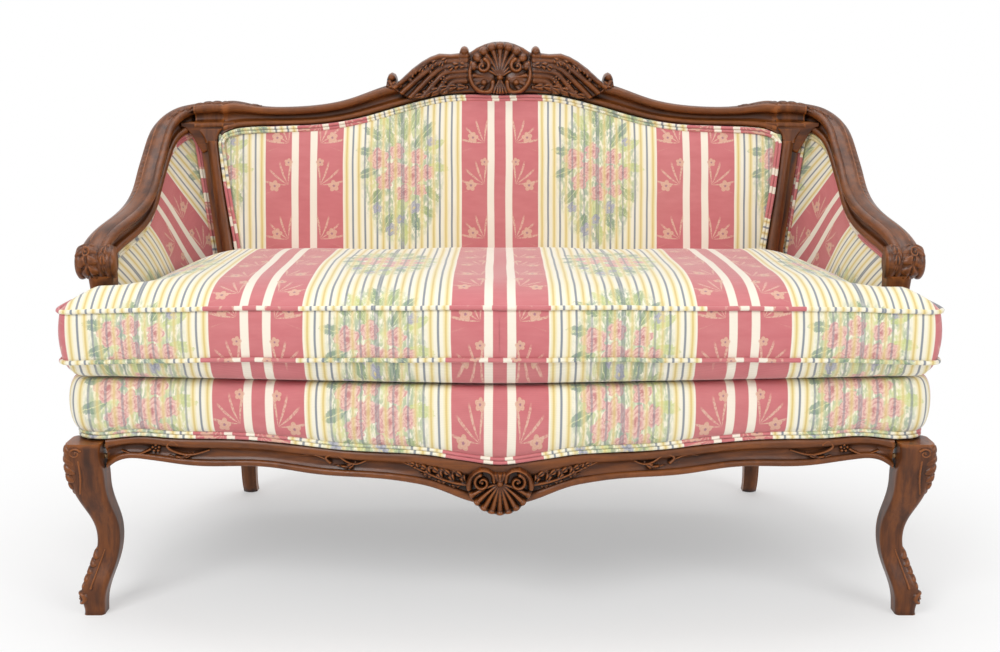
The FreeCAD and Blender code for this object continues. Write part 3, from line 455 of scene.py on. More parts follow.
def brocade(name, gloss=0.0, shade=1.0):
    """Woven stripes with bouquets in the cream ground and fern sprays in the rose bands; UVs are in metres."""
    mat, n, shader = material(name)
    uv = n.new("ShaderNodeTexCoord").outputs["UV"]
    parts = n.new("ShaderNodeSeparateXYZ")
    n.link(uv, parts.inputs[0])
    wobble = n.math("MULTIPLY", n.math("SUBTRACT", n.noise(uv, 9.0, 1.0), 0.5), 0.003)
    u = n.math("ADD", parts.outputs[0], wobble)
    v = parts.outputs[1]
    # Place within one repeat, in millimetres: red counts from a rose band's middle, ground from a bouquet's middle.
    turns = n.math("DIVIDE", u, REPEAT)
    red = n.math("MULTIPLY", n.math("SUBTRACT", n.math("FLOORED_MODULO", n.math("ADD", turns, 0.5), 1.0), 0.5), 374.0)
    ground = n.math("MULTIPLY", n.math("SUBTRACT", n.math("FLOORED_MODULO", turns, 1.0), 0.5), 374.0)
    up = n.math("MULTIPLY", v, 1000.0)
    away = n.math("ABSOLUTE", red)

    # Cream ground, and the bouquet on it, in rows that repeat up the cloth.
    blotch = n.noise(uv, 14.0, 3.0)
    colour = n.mix(blotch, solid(CREAM), solid(WARM_CREAM))
    row = n.math("SUBTRACT", n.math("FLOORED_MODULO", n.math("ADD", up, BOUQUET_SHIFT), 330.0), 165.0)
    rough = n.noise(uv, 150.0, 3.0, 0.65)
    shake = n.math("MULTIPLY", n.math("SUBTRACT", rough, 0.5), 13.0)
    bu, bv = n.math("ADD", ground, shake), n.math("ADD", row, shake)
    halo = n.math("SQRT", n.math("ADD", n.math("POWER", n.math("DIVIDE", bu, 80.0), 2.0),
                                 n.math("POWER", n.math("DIVIDE", bv, 140.0), 2.0)))
    bunch = n.below(halo, 0.93, 0.12)
    brush = n.noise(n.scaled(uv, (1.0, 0.42, 1.0)), 190.0, 2.0, 0.6)
    mist = n.math("MULTIPLY", bunch, n.ramp(brush, [(0.40, 0.0), (0.53, 1.0)]))
    green = n.ramp(n.noise(uv, 32.0, 2.0), [(0.36, rgb(206, 212, 138)), (0.50, rgb(160, 182, 134)),
                                            (0.64, rgb(132, 162, 136))])
    colour = n.mix(n.math("MULTIPLY", mist, 0.74), colour, green)
    greens = (rgb(118, 148, 112), rgb(150, 172, 116), rgb(196, 206, 128), rgb(112, 144, 122))
    leaves = [((-8, 112), 1.8, 26, 9), ((24, 104), 1.2, 26, 9), ((-34, 100), 2.2, 24, 8), ((48, 84), 0.8, 24, 9),
              ((-56, 78), 2.6, 24, 9), ((6, 84), 1.5, 22, 9), ((62, 56), 0.4, 24, 9), ((-68, 44), 3.0, 22, 9),
              ((34, 66), 1.0, 20, 8), ((-22, 70), 2.0, 20, 8), ((70, 14), -0.2, 22, 9), ((-66, 4), 3.5, 22, 9),
              ((-50, -40), 4.0, 22, 9), ((56, -36), -0.8, 22, 9), ((-6, -66), -1.7, 26, 10), ((24, -86), -1.2, 24, 9),
              ((-30, -92), -2.0, 24, 9), ((48, -70), -0.6, 20, 8), ((4, -112), -1.5, 24, 8)]
    for k, (centre, angle, length, width) in enumerate(leaves):
        colour = leaf_mark(n, bu, bv, centre, angle, length, width, greens[k % 4], rgb(214, 218, 166), colour, 0.72)
    roses = [((-44, 30), 21, 5, 0.2), ((-10, 44), 16, 5, 0.9), ((-14, 10), 19, 6, 0.4), ((30, 34), 16, 5, 1.4),
             ((18, -2), 22, 5, 2.0), ((48, 4), 15, 5, 0.1), ((-34, -12), 17, 5, 0.7), ((2, -34), 17, 5, 1.1),
             ((34, -30), 13, 5, 2.4)]
    for centre, radius, petals, turn in roses:
        colour = petal_flower(n, bu, bv, centre, radius, petals, turn, rgb(206, 130, 134), rgb(238, 196, 188),
                              rgb(192, 108, 118), colour, 0.30)
    for centre, radius in (((-20, -104), 13), ((22, -62), 12), ((-48, -62), 10), ((56, 62), 9), ((-4, -84), 9)):
        colour = petal_flower(n, bu, bv, centre, radius, 5, 0.5, rgb(146, 146, 176), rgb(190, 190, 200),
                              rgb(222, 204, 140), colour, 0.3)

    # Gold and blue-grey lines, which run on through the bouquet.
    lines = n.math("FLOORED_MODULO", n.math("DIVIDE", n.math("SUBTRACT", away, 73.0), 23.2), 1.0)
    clear = n.math("SUBTRACT", 1.0, n.math("MULTIPLY", bunch, 0.42))
    wide_gold = n.math("MULTIPLY", n.band(lines, 0.34, 0.18, 0.07), clear)
    colour = n.mix(n.math("MULTIPLY", wide_gold, 0.75), colour, solid(PALE_GOLD))
    colour = n.mix(n.math("MULTIPLY", n.math("MULTIPLY", n.band(lines, 0.34, 0.07, 0.04), clear), 0.8), colour,
                   solid(GOLD_LINE))
    colour = n.mix(n.math("MULTIPLY", n.math("MULTIPLY", n.band(lines, 0.84, 0.075, 0.03), clear), 0.88), colour,
                   solid(BLUE_LINE))

    # Rose bands: wide red, cream, narrow red, cream, wide red.
    satin = n.mix(n.noise(n.scaled(uv, (1.0, 3.0, 1.0)), 26.0, 2.0), solid(DEEP_RED), solid(ROSE_RED))
    band = n.mix(n.band(away, 17.5, 6.6, 0.7), satin, solid(rgb(243, 234, 218)))
    side = n.math("SUBTRACT", away, 30.0)
    for rise, every in ((0.0, 180.0), (78.0, 180.0)):
        stem = n.math("SUBTRACT", n.math("FLOORED_MODULO", n.math("ADD", up, rise), every), 60.0)
        r = n.math("SQRT", n.math("ADD", n.math("MULTIPLY", side, side), n.math("MULTIPLY", stem, stem)))
        angle = n.math("ARCTAN2", side, stem)
        ray = n.math("COSINE", n.math("ADD", n.math("MULTIPLY", angle, 12.0), n.math("MULTIPLY", r, 0.04)))
        limit = n.math("ADD", n.math("MULTIPLY", r, 0.014), 0.30)
        frond = n.math("MULTIPLY", n.below(n.math("SUBTRACT", limit, ray), 0.0, 0.12), n.below(r, 44.0, 5.0))
        frond = n.math("MULTIPLY", frond, n.below(n.math("ABSOLUTE", n.math("SUBTRACT", angle, 0.75)), 1.15, 0.1))
        broken = n.ramp(n.noise(uv, 300.0, 1.0), [(0.40, 0.35), (0.55, 1.0)])
        band = n.mix(n.math("MULTIPLY", n.math("MULTIPLY", frond, broken), 0.62), band, solid(PALE_TAN))
    for rise, out, radius in ((20.0, 52.0, 10.5), (110.0, 56.0, 11.0), (66.0, 30.0, 8.0)):
        stem = n.math("SUBTRACT", n.math("FLOORED_MODULO", n.math("ADD", up, rise), 180.0), 90.0)
        band = petal_flower(n, away, stem, (out, 0.0), radius, 5, 0.4, TAN, rgb(222, 178, 160),
                            rgb(158, 106, 128), band, 0.34)
    colour = n.mix(n.below(away, 73.5, 0.7), colour, band)

    # Weft ribs and threads.
    weft = n.new("ShaderNodeTexWave", wave_type="BANDS", bands_direction="Y", wave_profile="SIN")
    n.link(uv, weft.inputs["Vector"])
    weft.inputs["Scale"].default_value = 160.0
    weft.inputs["Distortion"].default_value = 0.6
    warp = n.new("ShaderNodeTexWave", wave_type="BANDS", bands_direction="X", wave_profile="SIN")
    n.link(uv, warp.inputs["Vector"])
    warp.inputs["Scale"].default_value = 210.0
    weave = n.math("ADD", n.math("MULTIPLY", weft.outputs["Fac"], 0.6), n.math("MULTIPLY", warp.outputs["Fac"], 0.4))
    colour = n.mix(0.10, colour, n.mix(weave, solid((0.25, 0.2, 0.18)), solid((1, 1, 1))), "MULTIPLY")
    soil = n.noise(uv, 5.0, 3.0)
    colour = n.mix(n.math("MULTIPLY", soil, 0.16), colour, solid(rgb(214, 200, 176)))
    n.link(colour, shader.inputs["Base Color"])
    n.link(n.ramp(n.below(away, 73.5, 1.0), [(0.0, 0.80), (1.0, 0.58)]), shader.inputs["Roughness"])
    shader.inputs["Specular IOR Level"].default_value = 0.28
    shader.inputs["Sheen Weight"].default_value = 0.50
    shader.inputs["Sheen Roughness"].default_value = 0.35
    n.link(n.bump(weave, 0.30, 0.0006), shader.inputs["Normal"])
    return mat


def plain_cloth(name, dark, light, scale, roughness=0.85):
    """Plain woven cloth in one colour, with its threads."""
    mat, n, shader = material(name)
    where = n.new("ShaderNodeTexCoord").outputs["Object"]
    threads = n.noise(n.scaled(where, (scale, scale * 0.2, scale)), 1.0, 2.0)
    cross = n.noise(n.scaled(where, (scale * 0.2, scale, scale)), 1.0, 2.0)
    weave = n.math("MULTIPLY", n.math("ADD", threads, cross), 0.5)
    n.link(n.ramp(weave, [(0.35, dark), (0.62, light)]), shader.inputs["Base Color"])
    shader.inputs["Roughness"].default_value = roughness
    shader.inputs["Sheen Weight"].default_value = 0.15
    n.link(n.bump(weave, 0.4, 0.0008), shader.inputs["Normal"])
    return mat


def metal(name, colour, rough):
    mat, n, shader = material(name)
    where = n.new("ShaderNodeTexCoord").outputs["Object"]
    smear = n.noise(n.scaled(where, (60.0, 60.0, 300.0)), 1.0, 3.0)
    n.link(n.mix(smear, solid(colour), solid(tuple(c * 0.7 for c in colour))), shader.inputs["Base Color"])
    n.link(n.ramp(smear, [(0.3, rough), (0.7, rough + 0.15)]), shader.inputs["Roughness"])
    shader.inputs["Metallic"].default_value = 1.0
    return mat


# Finishes
GRAIN_X, GRAIN_Y, GRAIN_Z = (1, 0, 0), (0, 1, 0), (0, 0, 1)
WALNUT_X, WALNUT_Y, WALNUT_Z = walnut("walnut_x", GRAIN_X), walnut("walnut_y", GRAIN_Y), walnut("walnut_z", GRAIN_Z)
BROCADE = brocade("brocade_cloth")
DECKING = plain_cloth("deck_cloth", rgb(206, 190, 160), rgb(228, 214, 186), 900.0)
CAMBRIC = plain_cloth("dust_cambric", rgb(14, 14, 15), rgb(30, 30, 32), 1400.0)
JUTE = plain_cloth("jute", rgb(120, 92, 56), rgb(176, 144, 98), 500.0)
COTTON = plain_cloth("stuffing_cotton", rgb(214, 208, 192), rgb(238, 234, 222), 240.0)
BEECH = plain_cloth("plain_timber", rgb(168, 128, 86), rgb(200, 162, 116), 60.0, 0.6)
SPRING_STEEL = metal("spring_steel_finish", (0.12, 0.12, 0.125), 0.35)
ZINC = metal("zinc_finish", (0.55, 0.55, 0.53), 0.3)
BRASS = metal("brass_finish", (0.60, 0.43, 0.17), 0.35)

NODE_FINISH = {
    "crest_rail": WALNUT_X, "crest_carving": WALNUT_X, "crest_shell": WALNUT_X, "front_seat_rail": WALNUT_X,
    "apron_shell": WALNUT_X, "rear_seat_rail": BEECH, "lower_back_rail": BEECH, "seat_brace": BEECH,
    "corner_blocks": BEECH, "frame_dowels": BEECH, "corner_block_screws": ZINC, "zigzag_springs": SPRING_STEEL,
    "spring_clips": SPRING_STEEL, "spring_burlap": JUTE, "back_webbing": JUTE, "deck_padding": COTTON,
    "back_padding": COTTON, "cushion_filling": COTTON,
}
for side in ("left", "right"):
    NODE_FINISH.update({
        f"stile_and_rear_leg_{side}": WALNUT_Z, f"arm_rail_{side}": WALNUT_Y, f"arm_post_{side}": WALNUT_Z,
        f"front_leg_{side}": WALNUT_Z, f"side_seat_rail_{side}": WALNUT_Y, f"arm_tack_rail_{side}": BEECH,
        f"wing_padding_{side}": COTTON})
for name, finish in NODE_FINISH.items():
    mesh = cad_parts[name].data
    mesh.materials.clear()
    mesh.materials.append(finish)


# Carving: ornament drawn as heights over a patch of the wood

class Relief:
    """Heights of carved ornament over places (u, v), in millimetres."""

    def __init__(self, u, v):
        self.u, self.v = u, v
        self.h = np.zeros_like(u)

    def near(self, path):
        """Share along a path and distance from it, for each place."""
        line = Line([(a, b, 0) for a, b in path])
        p = line.at(np.linspace(0, 1, 8 * len(path)))[:, :2]
        run = np.concatenate([[0], np.cumsum(np.linalg.norm(np.diff(p, axis=0), axis=1))])
        best = np.full(self.u.shape, 1e9)
        share = np.zeros_like(best)
        for i in range(len(p) - 1):
            d = p[i + 1] - p[i]
            length = np.hypot(*d)
            a, b = self.u - p[i][0], self.v - p[i][1]
            t = np.clip((a * d[0] + b * d[1]) / length ** 2, 0, 1)
            away = np.hypot(a - t * d[0], b - t * d[1])
            closer = away < best
            best = np.where(closer, away, best)
            share = np.where(closer, (run[i] + t * length) / run[-1], share)
        return share, best

    def add(self, height):
        self.h = np.maximum(self.h, height)

    def ridge(self, path, width, height, start=1.0, end=0.35):
        """Rounded rib that changes its size from start to end."""
        t, away = self.near(path)
        size = start + (end - start) * t
        share = away / (width * size)
        self.add(height * (0.5 + 0.5 * size) * np.sqrt(np.clip(1 - share ** 2, 0, None)))

    def dome(self, centre, radius, height):
        share = np.hypot(self.u - centre[0], self.v - centre[1]) / radius
        self.add(height * np.sqrt(np.clip(1 - share ** 2, 0, None)))

    def scroll(self, centre, radius, turns, start, hand, width, height):
        """Rib that winds in to an eye."""
        path = []
        count = int(9 * turns) + 3
        for k in range(count):
            share = k / (count - 1)
            angle = start + hand * share * turns * 2 * math.pi
            reach = radius * (1 - 0.74 * share)
            path.append((centre[0] + reach * math.cos(angle), centre[1] + reach * math.sin(angle)))
        self.ridge(path, width, height, 1.0, 0.6)
        self.dome(centre, width * 0.8, height * 0.95)

    def leaf(self, path, half, height, lobes):
        """Acanthus leaf: lobed edge, a groove between lobes and a sunk midrib."""
        t, away = self.near(path)
        swell = np.sin(math.pi * np.clip(0.06 + 0.94 * t, 0, 1) ** 0.8) ** 0.65
        scallop = np.abs(np.sin(math.pi * (lobes * t - 0.55 * away / half)))
        edge = half * swell * (0.55 + 0.45 * scallop) + 0.01
        body = np.clip(1 - (away / edge) ** 2, 0, None) ** 0.5
        grooves = 1 - 0.55 * (1 - scallop) ** 2 * np.clip(away / (0.25 * half), 0, 1)
        spine = 1 - 0.4 * np.exp(-(away / (0.09 * half + 0.4)) ** 2)
        self.add(height * (0.45 + 0.55 * swell) * body * grooves * spine)

    def blossom(self, centre, radius, height, petals=5):
        for k in range(petals):
            angle = 2 * math.pi * k / petals + 0.3
            self.dome((centre[0] + radius * math.cos(angle), centre[1] + radius * math.sin(angle)),
                      0.62 * radius, height)
        self.dome(centre, 0.45 * radius, height * 1.2)


def carved(name, across, low, high, rows, draw, front, back, replaces=(), finish=None, hand=1, roll=5.0):
    """Carved plate between two outlines; front(u, v, h) and back(u, v) give its points."""
    across = np.array(across, float)
    lo = np.array([low(abs(a)) for a in across])
    hi = np.array([high(abs(a)) for a in across])
    share = np.linspace(0, 1, rows)[:, None]
    v = lo + share * (hi - lo)
    u = np.repeat(across[None, :], rows, 0)
    relief = Relief(np.abs(u), v)
    draw(relief)
    h = relief.h + 0.22 * noise1(u * 0.9 + v * 0.4, 2.0) * noise1(v * 1.1 - u * 0.3, 5.0)
    rim = np.minimum(v - lo, hi - v)
    drop = np.sqrt(np.clip(1 - (1 - np.clip(rim / roll, 0, 1)) ** 2, 0, 1))
    points = front(u, v, h, drop).reshape(-1, 3)
    cols = len(across)
    rear = np.concatenate([back(across, lo), back(across, hi)])
    first = len(points)
    points = np.concatenate([points, rear]) * (hand, 1, 1)
    faces = grid_faces(rows, cols)
    top = (rows - 1) * cols
    for j in range(cols - 1):
        faces.append((j + 1, j, first + j, first + j + 1))
        faces.append((top + j, top + j + 1, first + cols + j + 1, first + cols + j))
        faces.append((first + j, first + cols + j, first + cols + j + 1, first + j + 1))
    faces.append(tuple(j * cols for j in range(rows)) + (first + cols, first))
    faces.append(tuple(j * cols + cols - 1 for j in reversed(range(rows))) + (first + cols - 1, first + 2 * cols - 1))
    return make(name, points, faces, None, "frame", finish or WALNUT_X, replaces, flip=hand < 0)


def table(knots):
    xs, ys = [k[0] for k in knots], [k[1] for k in knots]
    return lambda at: float(np.interp(at, xs, ys))


CREST_TOP = table([(0, 907), (15, 906), (29, 902), (45, 895), (57, 887), (60, 886), (61, 892), (64, 896.5), (69, 898.5),
                   (74, 896.5), (77, 892), (78.5, 885), (95, 883), (118, 884), (135, 878), (151, 869), (170, 855), (184, 842), (198, 829),
                   (199.5, 838), (203, 845), (209, 848), (214, 845), (217.5, 838), (219, 827), (220, 821)])
CREST_FOOT = table([(0, 806), (60, 807.5), (116, 804), (150, 797), (172, 796), (192, 805), (206, 815), (220, 819)])


def draw_cresting(r):
    # Shell: fluted fan under a scalloped hood, curled in at both sides, and a small fan hanging from its heart.
    heart = (0, 838)
    fan = [((0, 893), 7.0), ((14, 890), 6.8), ((27, 882), 6.6), ((38, 871), 6.2), ((46, 858), 5.8)]
    for (x, z), width in fan:
        r.ridge([heart, (0.42 * x, heart[1] + 0.46 * (z - heart[1]) + 3), (x, z)], width, 13.5, 0.35, 1.0)
    for x, z in ((0, 898), (16, 895), (31, 887), (43, 875), (51, 860)):
        r.dome((x, z), 10.0, 17)
    r.dome((33, 836), 24, 9.5)
    for end in ((50, 842), (47, 826), (38, 816)):
        r.ridge([(16, 836), (0.6 * end[0] + 6, 0.6 * end[1] + 335), end], 6.0, 12.0, 0.4, 1.0)
    r.scroll((33, 860), 13.0, 1.0, 1.9, 1, 6.4, 20)
    r.ridge([(55, 866), (58, 848), (54, 829), (42, 815), (27, 810), (16, 817), (14, 829)], 6.4, 17, 0.7, 1.0)
    for end, width in (((0, 806), 3.6), ((6, 807), 3.3), ((12, 810), 3.0)):
        r.ridge([heart, (0.6 * end[0], 822), end], width, 14, 0.8, 1.0)
    r.dome(heart, 7.5, 17)
    r.dome((31, 829), 8.0, 16)
    r.dome((69, 888), 10.0, 17)
    r.leaf([(60, 874), (66, 862), (70, 846), (66, 830)], 8, 9, 3)
    # Acanthus wing: long flutes that sweep down beside the outline and curl at their ends.
    sweep = [(66, 880), (95, 879), (124, 876), (150, 861), (176, 841), (204, 819)]
    for k in range(6):
        share = 1 - 0.11 * k
        path = [(66 + (x - 66) * share, z - 9.5 * k) for x, z in sweep]
        r.ridge(path, 10.0 - 0.4 * k, 14.5 - 1.0 * k, 0.8, 0.6)
    for k in range(6):
        x, z = 104 + 19 * k, 872 - 3.2 * k - 1.15 * k * k
        r.leaf([(x - 4, z + 4), (x + 8, z - 7), (x + 13, z - 24)], 8.5, 16.0 - 0.9 * k, 3)
    r.leaf([(64, 860), (80, 862), (96, 856), (110, 846)], 11, 16, 4)
    # Small leaves and blossoms along the rail's lower edge.
    r.leaf([(64, 820), (92, 821), (122, 815), (155, 804), (196, 794)], 10, 10.5, 8)
    r.blossom((108, 834), 5.5, 11)
    r.blossom((131, 827), 4.5, 10)
    r.dome((209, 840), 8.5, 14)
    r.ridge([(196, 812), (206, 822), (212, 832)], 5, 9, 0.6, 1.0)


def cresting_front(u, v, h, drop):
    rail = np.clip((v - np.vectorize(lambda x: smooth(CREST_HIGH, abs(x)))(u[0])[None, :]) / 26.0, 0, 1)
    depth = (21.6 - 5.0 * rail) * (0.35 + 0.65 * drop) + 0.9 * h * drop
    y = 260.0 + 0.15 * (v - 350.0) - 45.0 * (u / 550.0) ** 2 - depth
    return np.stack([u, y, v], -1)


def cresting_back(x, z):
    return np.stack([x, 260.0 + 0.15 * (z - 350.0) - 45.0 * (x / 550.0) ** 2 + 13.0, z], -1)


carved("crest_acanthus_and_shell", np.arange(-220, 220.1, 1.25), CREST_FOOT, CREST_TOP, 84, draw_cresting,
       cresting_front, cresting_back, ("crest_carving", "crest_shell"))


# Apron shell and its sprays

def apron_ys(u):
    return np.array([apron_y(x) for x in u])


SHELL_FOOT = table([(0, 181), (7, 181), (10, 183), (18, 184), (28, 189), (38, 198), (45, 209), (50, 221), (52, 228)])
SHELL_TOP = table([(0, 250), (9, 251), (18, 256), (30, 258), (40, 253), (47, 245), (52, 233)])


def draw_apron_shell(r):
    # Curled lobes at both sides, and a fluted fan that spreads to the scalloped foot.
    heart = (0, 233)
    for (x, z), width in (((0, 191), 5.4), ((11, 193), 5.2), ((22, 198), 5.0), ((32, 206), 4.8), ((39, 217), 4.4)):
        r.ridge([heart, (0.45 * x, 0.5 * (heart[1] + z) + 3), (x, z)], width, 10.5, 0.4, 1.0)
    for x, z in ((0, 186), (13, 188), (25, 194), (36, 203), (44, 215)):
        r.dome((x, z), 7.0, 12.5)
    r.ridge([(9, 236), (12, 249), (24, 255), (37, 251), (46, 239), (48, 226)], 5.6, 14, 0.6, 1.0)
    r.scroll((27, 235), 12.5, 1.2, 1.3, -1, 4.2, 14)
    r.ridge([(0, 251), (0, 238)], 4.6, 10, 1.0, 0.9)
    r.ridge([(8, 251), (4, 238)], 3.4, 9, 1.0, 0.8)
    r.dome(heart, 6.5, 13)


carved("apron_shell_carving", np.arange(-52, 52.01, 0.95), SHELL_FOOT, SHELL_TOP, 74, draw_apron_shell,
       lambda u, v, h, drop: np.stack([u, apron_ys(u[0])[None, :] - (1.0 + 0.95 * h) * drop + 2.5 * (1 - drop), v], -1),
       lambda x, z: np.stack([x, apron_ys(x) + 9.0, z], -1), ("apron_shell",))


def draw_spray(r):
    r.ridge([(44, 228), (72, 232), (100, 241), (126, 252), (148, 262)], 2.8, 9.5, 1.3, 0.5)
    for at, reach, rise in ((52, 26, 22), (70, 26, 21), (88, 25, 19), (106, 24, 15), (124, 20, 9)):
        z = 228 + 0.0030 * (at - 44) ** 2 + 0.06 * (at - 44)
        r.leaf([(at, z), (at + 0.35 * reach, z + 0.7 * rise), (at + reach, z + rise)], 6.6, 11, 3)
    for at, reach, fall in ((58, 24, -9), (80, 24, -6), (102, 22, -2)):
        z = 228 + 0.0030 * (at - 44) ** 2 + 0.06 * (at - 44)
        r.leaf([(at, z), (at + 0.6 * reach, z + 0.7 * fall + 2), (at + reach, z + fall + 5)], 4.6, 9, 3)


def draw_tendril(r):
    r.ridge([(206, 262), (222, 256), (240, 262), (256, 270), (268, 264), (262, 257)], 3.4, 9, 0.5, 1.0)
    r.leaf([(222, 258), (238, 250), (256, 252)], 5.5, 9, 3)
    r.leaf([(250, 268), (268, 274), (284, 270)], 4.5, 8, 3)
    r.ridge([(268, 262), (288, 268), (306, 266)], 2.4, 8, 1.0, 0.4)


def draw_corner_scroll(r):
    r.ridge([(452, 270), (480, 262), (506, 266), (518, 276), (510, 283), (502, 278)], 3.6, 9, 0.5, 1.0)
    r.leaf([(478, 264), (500, 256), (520, 260)], 5.5, 9, 3)
    r.blossom((536, 272), 5.0, 8)
    r.ridge([(545, 270), (566, 262), (590, 268)], 2.6, 8, 1.0, 0.5)


for hand, side in ((1, "right"), (-1, "left")):
    for label, span, low, high, draw in (
            ("spray", (44, 150), [(44, 217), (60, 218), (100, 232), (128, 246), (150, 256)],
             [(44, 252), (60, 258), (100, 266), (128, 271), (150, 272)], draw_spray),
            ("tendril", (202, 310), [(202, 256), (230, 246), (310, 262)], [(202, 268), (250, 278), (310, 272)],
             draw_tendril),
            ("corner_scroll", (448, 596), [(448, 264), (500, 253), (596, 262)], [(448, 276), (510, 288), (596, 278)],
             draw_corner_scroll)):
        carved(f"apron_{label}_{side}", np.arange(span[0], span[1] + 0.01, 1.0), table(low), table(high), 34, draw,
               lambda u, v, h, drop: np.stack([u, apron_ys(u[0])[None, :] + 8.0 - h * drop, v], -1),
               lambda x, z: np.stack([x, apron_ys(x) + 14.0, z], -1), hand=hand, roll=3.0)


# Knees, ankles and feet

FRONT_LEG = [(0, 645, -280, 16.5), (26, 645, -281, 18.5), (43, 643, -278, 20), (76, 631, -266, 19),
             (110, 623, -258, 18), (143, 624, -259, 19), (176, 633, -268, 22), (209, 641, -276, 25.5),
             (240, 644, -279, 27.5), (284, 644, -279, 27.5)]
LEG_X = [(row[0], row[1]) for row in FRONT_LEG]
LEG_Y = [(row[0], row[2]) for row in FRONT_LEG]
LEG_R = [(row[0], row[3]) for row in FRONT_LEG]


def leg_skin(turn, z, out):
    """Point on the right front leg: turn runs round it in millimetres, 0 at the front and growing outward."""
    x, y, half = (np.array([smooth(k, a) for a in z.ravel()]).reshape(z.shape) for k in (LEG_X, LEG_Y, LEG_R))
    angle = turn / half
    reach = (np.abs(np.cos(angle)) ** 5 + np.abs(np.sin(angle)) ** 5) ** -0.2 * half
    return np.stack([x + np.sin(angle) * (reach + out), y - np.cos(angle) * (reach + out), z], -1)


def draw_knee(r):
    r.leaf([(24, 284), (24, 262), (25, 240), (27, 216), (28, 194)], 15, 7.5, 6)
    r.scroll((9, 270), 8, 1.2, 2.6, -1, 3.0, 6.0)
    r.scroll((39, 270), 8, 1.2, 0.6, 1, 3.0, 6.0)
    r.ridge([(5, 258), (5, 230), (12, 202)], 2.6, 4.5, 1.0, 0.5)


def draw_ankle(r):
    r.leaf([(18, 104), (20, 84), (20, 62), (17, 42)], 12, 6.5, 5)
    r.scroll((18, 28), 10, 1.3, 1.4, 1, 3.6, 6.5)
    r.ridge([(3, 104), (5, 80), (4, 46)], 2.4, 4.5, 0.5, 1.0)


def leg_plates(side, hand):
    for label, span, low, high, draw in (
            ("knee_leaf", (0, 46), 190, 283.5, draw_knee), ("ankle_leaf", (0, 34), 14, 106, draw_ankle)):
        carved(f"{label}_{side}", np.arange(span[0], span[1] + 0.01, 1.0), lambda a: low, lambda a: high,
               int((high - low) / 1.1), draw,
               lambda u, v, h, drop: leg_skin(u, v, -1.6 + (h + 0.4) * drop * np.clip(h, 0, 1)),
               lambda x, z: leg_skin(x, z, -5.0), finish=WALNUT_Z, hand=hand, roll=3.0)


# Hand rests

def rest_skin(turn, x, out):
    """Point on the right hand rest's roll: turn is in millimetres round it from its front, growing upward."""
    angle = turn / 25.0
    return np.stack([x, -174.0 - np.cos(angle) * (25.0 + out), 548.0 + np.sin(angle) * (25.0 + out)], -1)


def draw_rest(r):
    for k in range(5):
        x = 5 + 11.5 * k
        r.ridge([(x + 2, 52), (x, 20), (x, -20), (x + 3, -52)], 6.6, 4.6, 1.0, 0.8)
    r.leaf([(40, 52), (40, 26), (36, 0), (30, -26), (24, -50)], 19, 9.0, 6)
    r.leaf([(8, 50), (12, 26), (12, 4), (8, -16)], 10, 7.5, 4)
    r.scroll((40, 18), 8, 1.1, 1.2, 1, 3.2, 10)


def hand_rests(side, hand):
    def front(u, v, h, drop):
        return rest_skin(v, 616.0 + u, (-2.0 + h) * drop - 3.0 * (1 - drop))
    carved(f"hand_rest_flutes_{side}", np.arange(-1, 58.01, 0.9), lambda a: -50.0, lambda a: 50.0, 90, draw_rest, front,
           lambda x, z: rest_skin(z, 616.0 + x, -8.0), finish=WALNUT_Y, hand=hand, roll=6.0)


# Leaf over the corner, where the crest meets the arm

def corner_leaves(side, hand):
    line = Line([(452, 286, 782), (492, 282, 785), (530, 276, 788), (560, 272, 787), (590, 264, 780), (613, 244, 769),
                 (630, 218, 750)])

    def base(u, v, out):
        share = np.clip((u - 0) / 190.0, 0, 1)
        p, along = line.at(share.ravel()).reshape(u.shape + (3,)), line.along(share.ravel()).reshape(u.shape + (3,))
        side_way = np.cross(along, np.array([0.0, 0.0, 1.0]))
        side_way /= np.linalg.norm(side_way, axis=-1, keepdims=True)
        up = np.cross(side_way, along)
        tilt = v / 15.0
        return p - up * 8 + side_way * (np.sin(-tilt) * (13 + out))[..., None] * -1.0 \
            + up * (np.cos(tilt) * (11 + out))[..., None]
    carved(f"corner_leaf_{side}", np.arange(4, 186.01, 1.2), lambda a: -14.0, lambda a: 18.0, 34,
           lambda r: (r.leaf([(6, 2), (60, 3), (120, 2), (182, 0)], 15, 5.5, 11),
                      r.ridge([(4, -10), (90, -9), (184, -8)], 2.2, 3.6, 1.0, 1.0)),
           lambda u, v, h, drop: base(u, v, (h - 1.5) * drop - 2.0 * (1 - drop)),
           lambda x, z: base(x, z, -8.0), finish=WALNUT_X, hand=hand, roll=3.0)


def corner_web(side, hand):
    """Wood that fills the hollowed corners between the stile, the crest rail and the arm rail."""
    low = table([(506, 742), (516, 738), (527, 731), (536, 721), (542, 704), (568, 696), (577, 712), (586, 730),
                 (596, 742), (606, 746)])

    def depth(x):
        return 260.0 + 0.15 * 410.0 - 45.0 * (x / 550.0) ** 2
    carved(f"corner_web_{side}", np.arange(506, 606.1, 1.5), low, lambda a: 756.0, 20,
           lambda r: r.ridge([(510, 742), (527, 734), (540, 712)], 3.0, 3.0, 1.0, 1.0),
           lambda u, v, h, drop: np.stack([u, depth(u) - 12.0 - 5.0 * drop - 0.5 * h, v], -1),
           lambda x, z: np.stack([x, depth(x) + 8.0, z], -1), finish=WALNUT_X, hand=hand, roll=4.0)


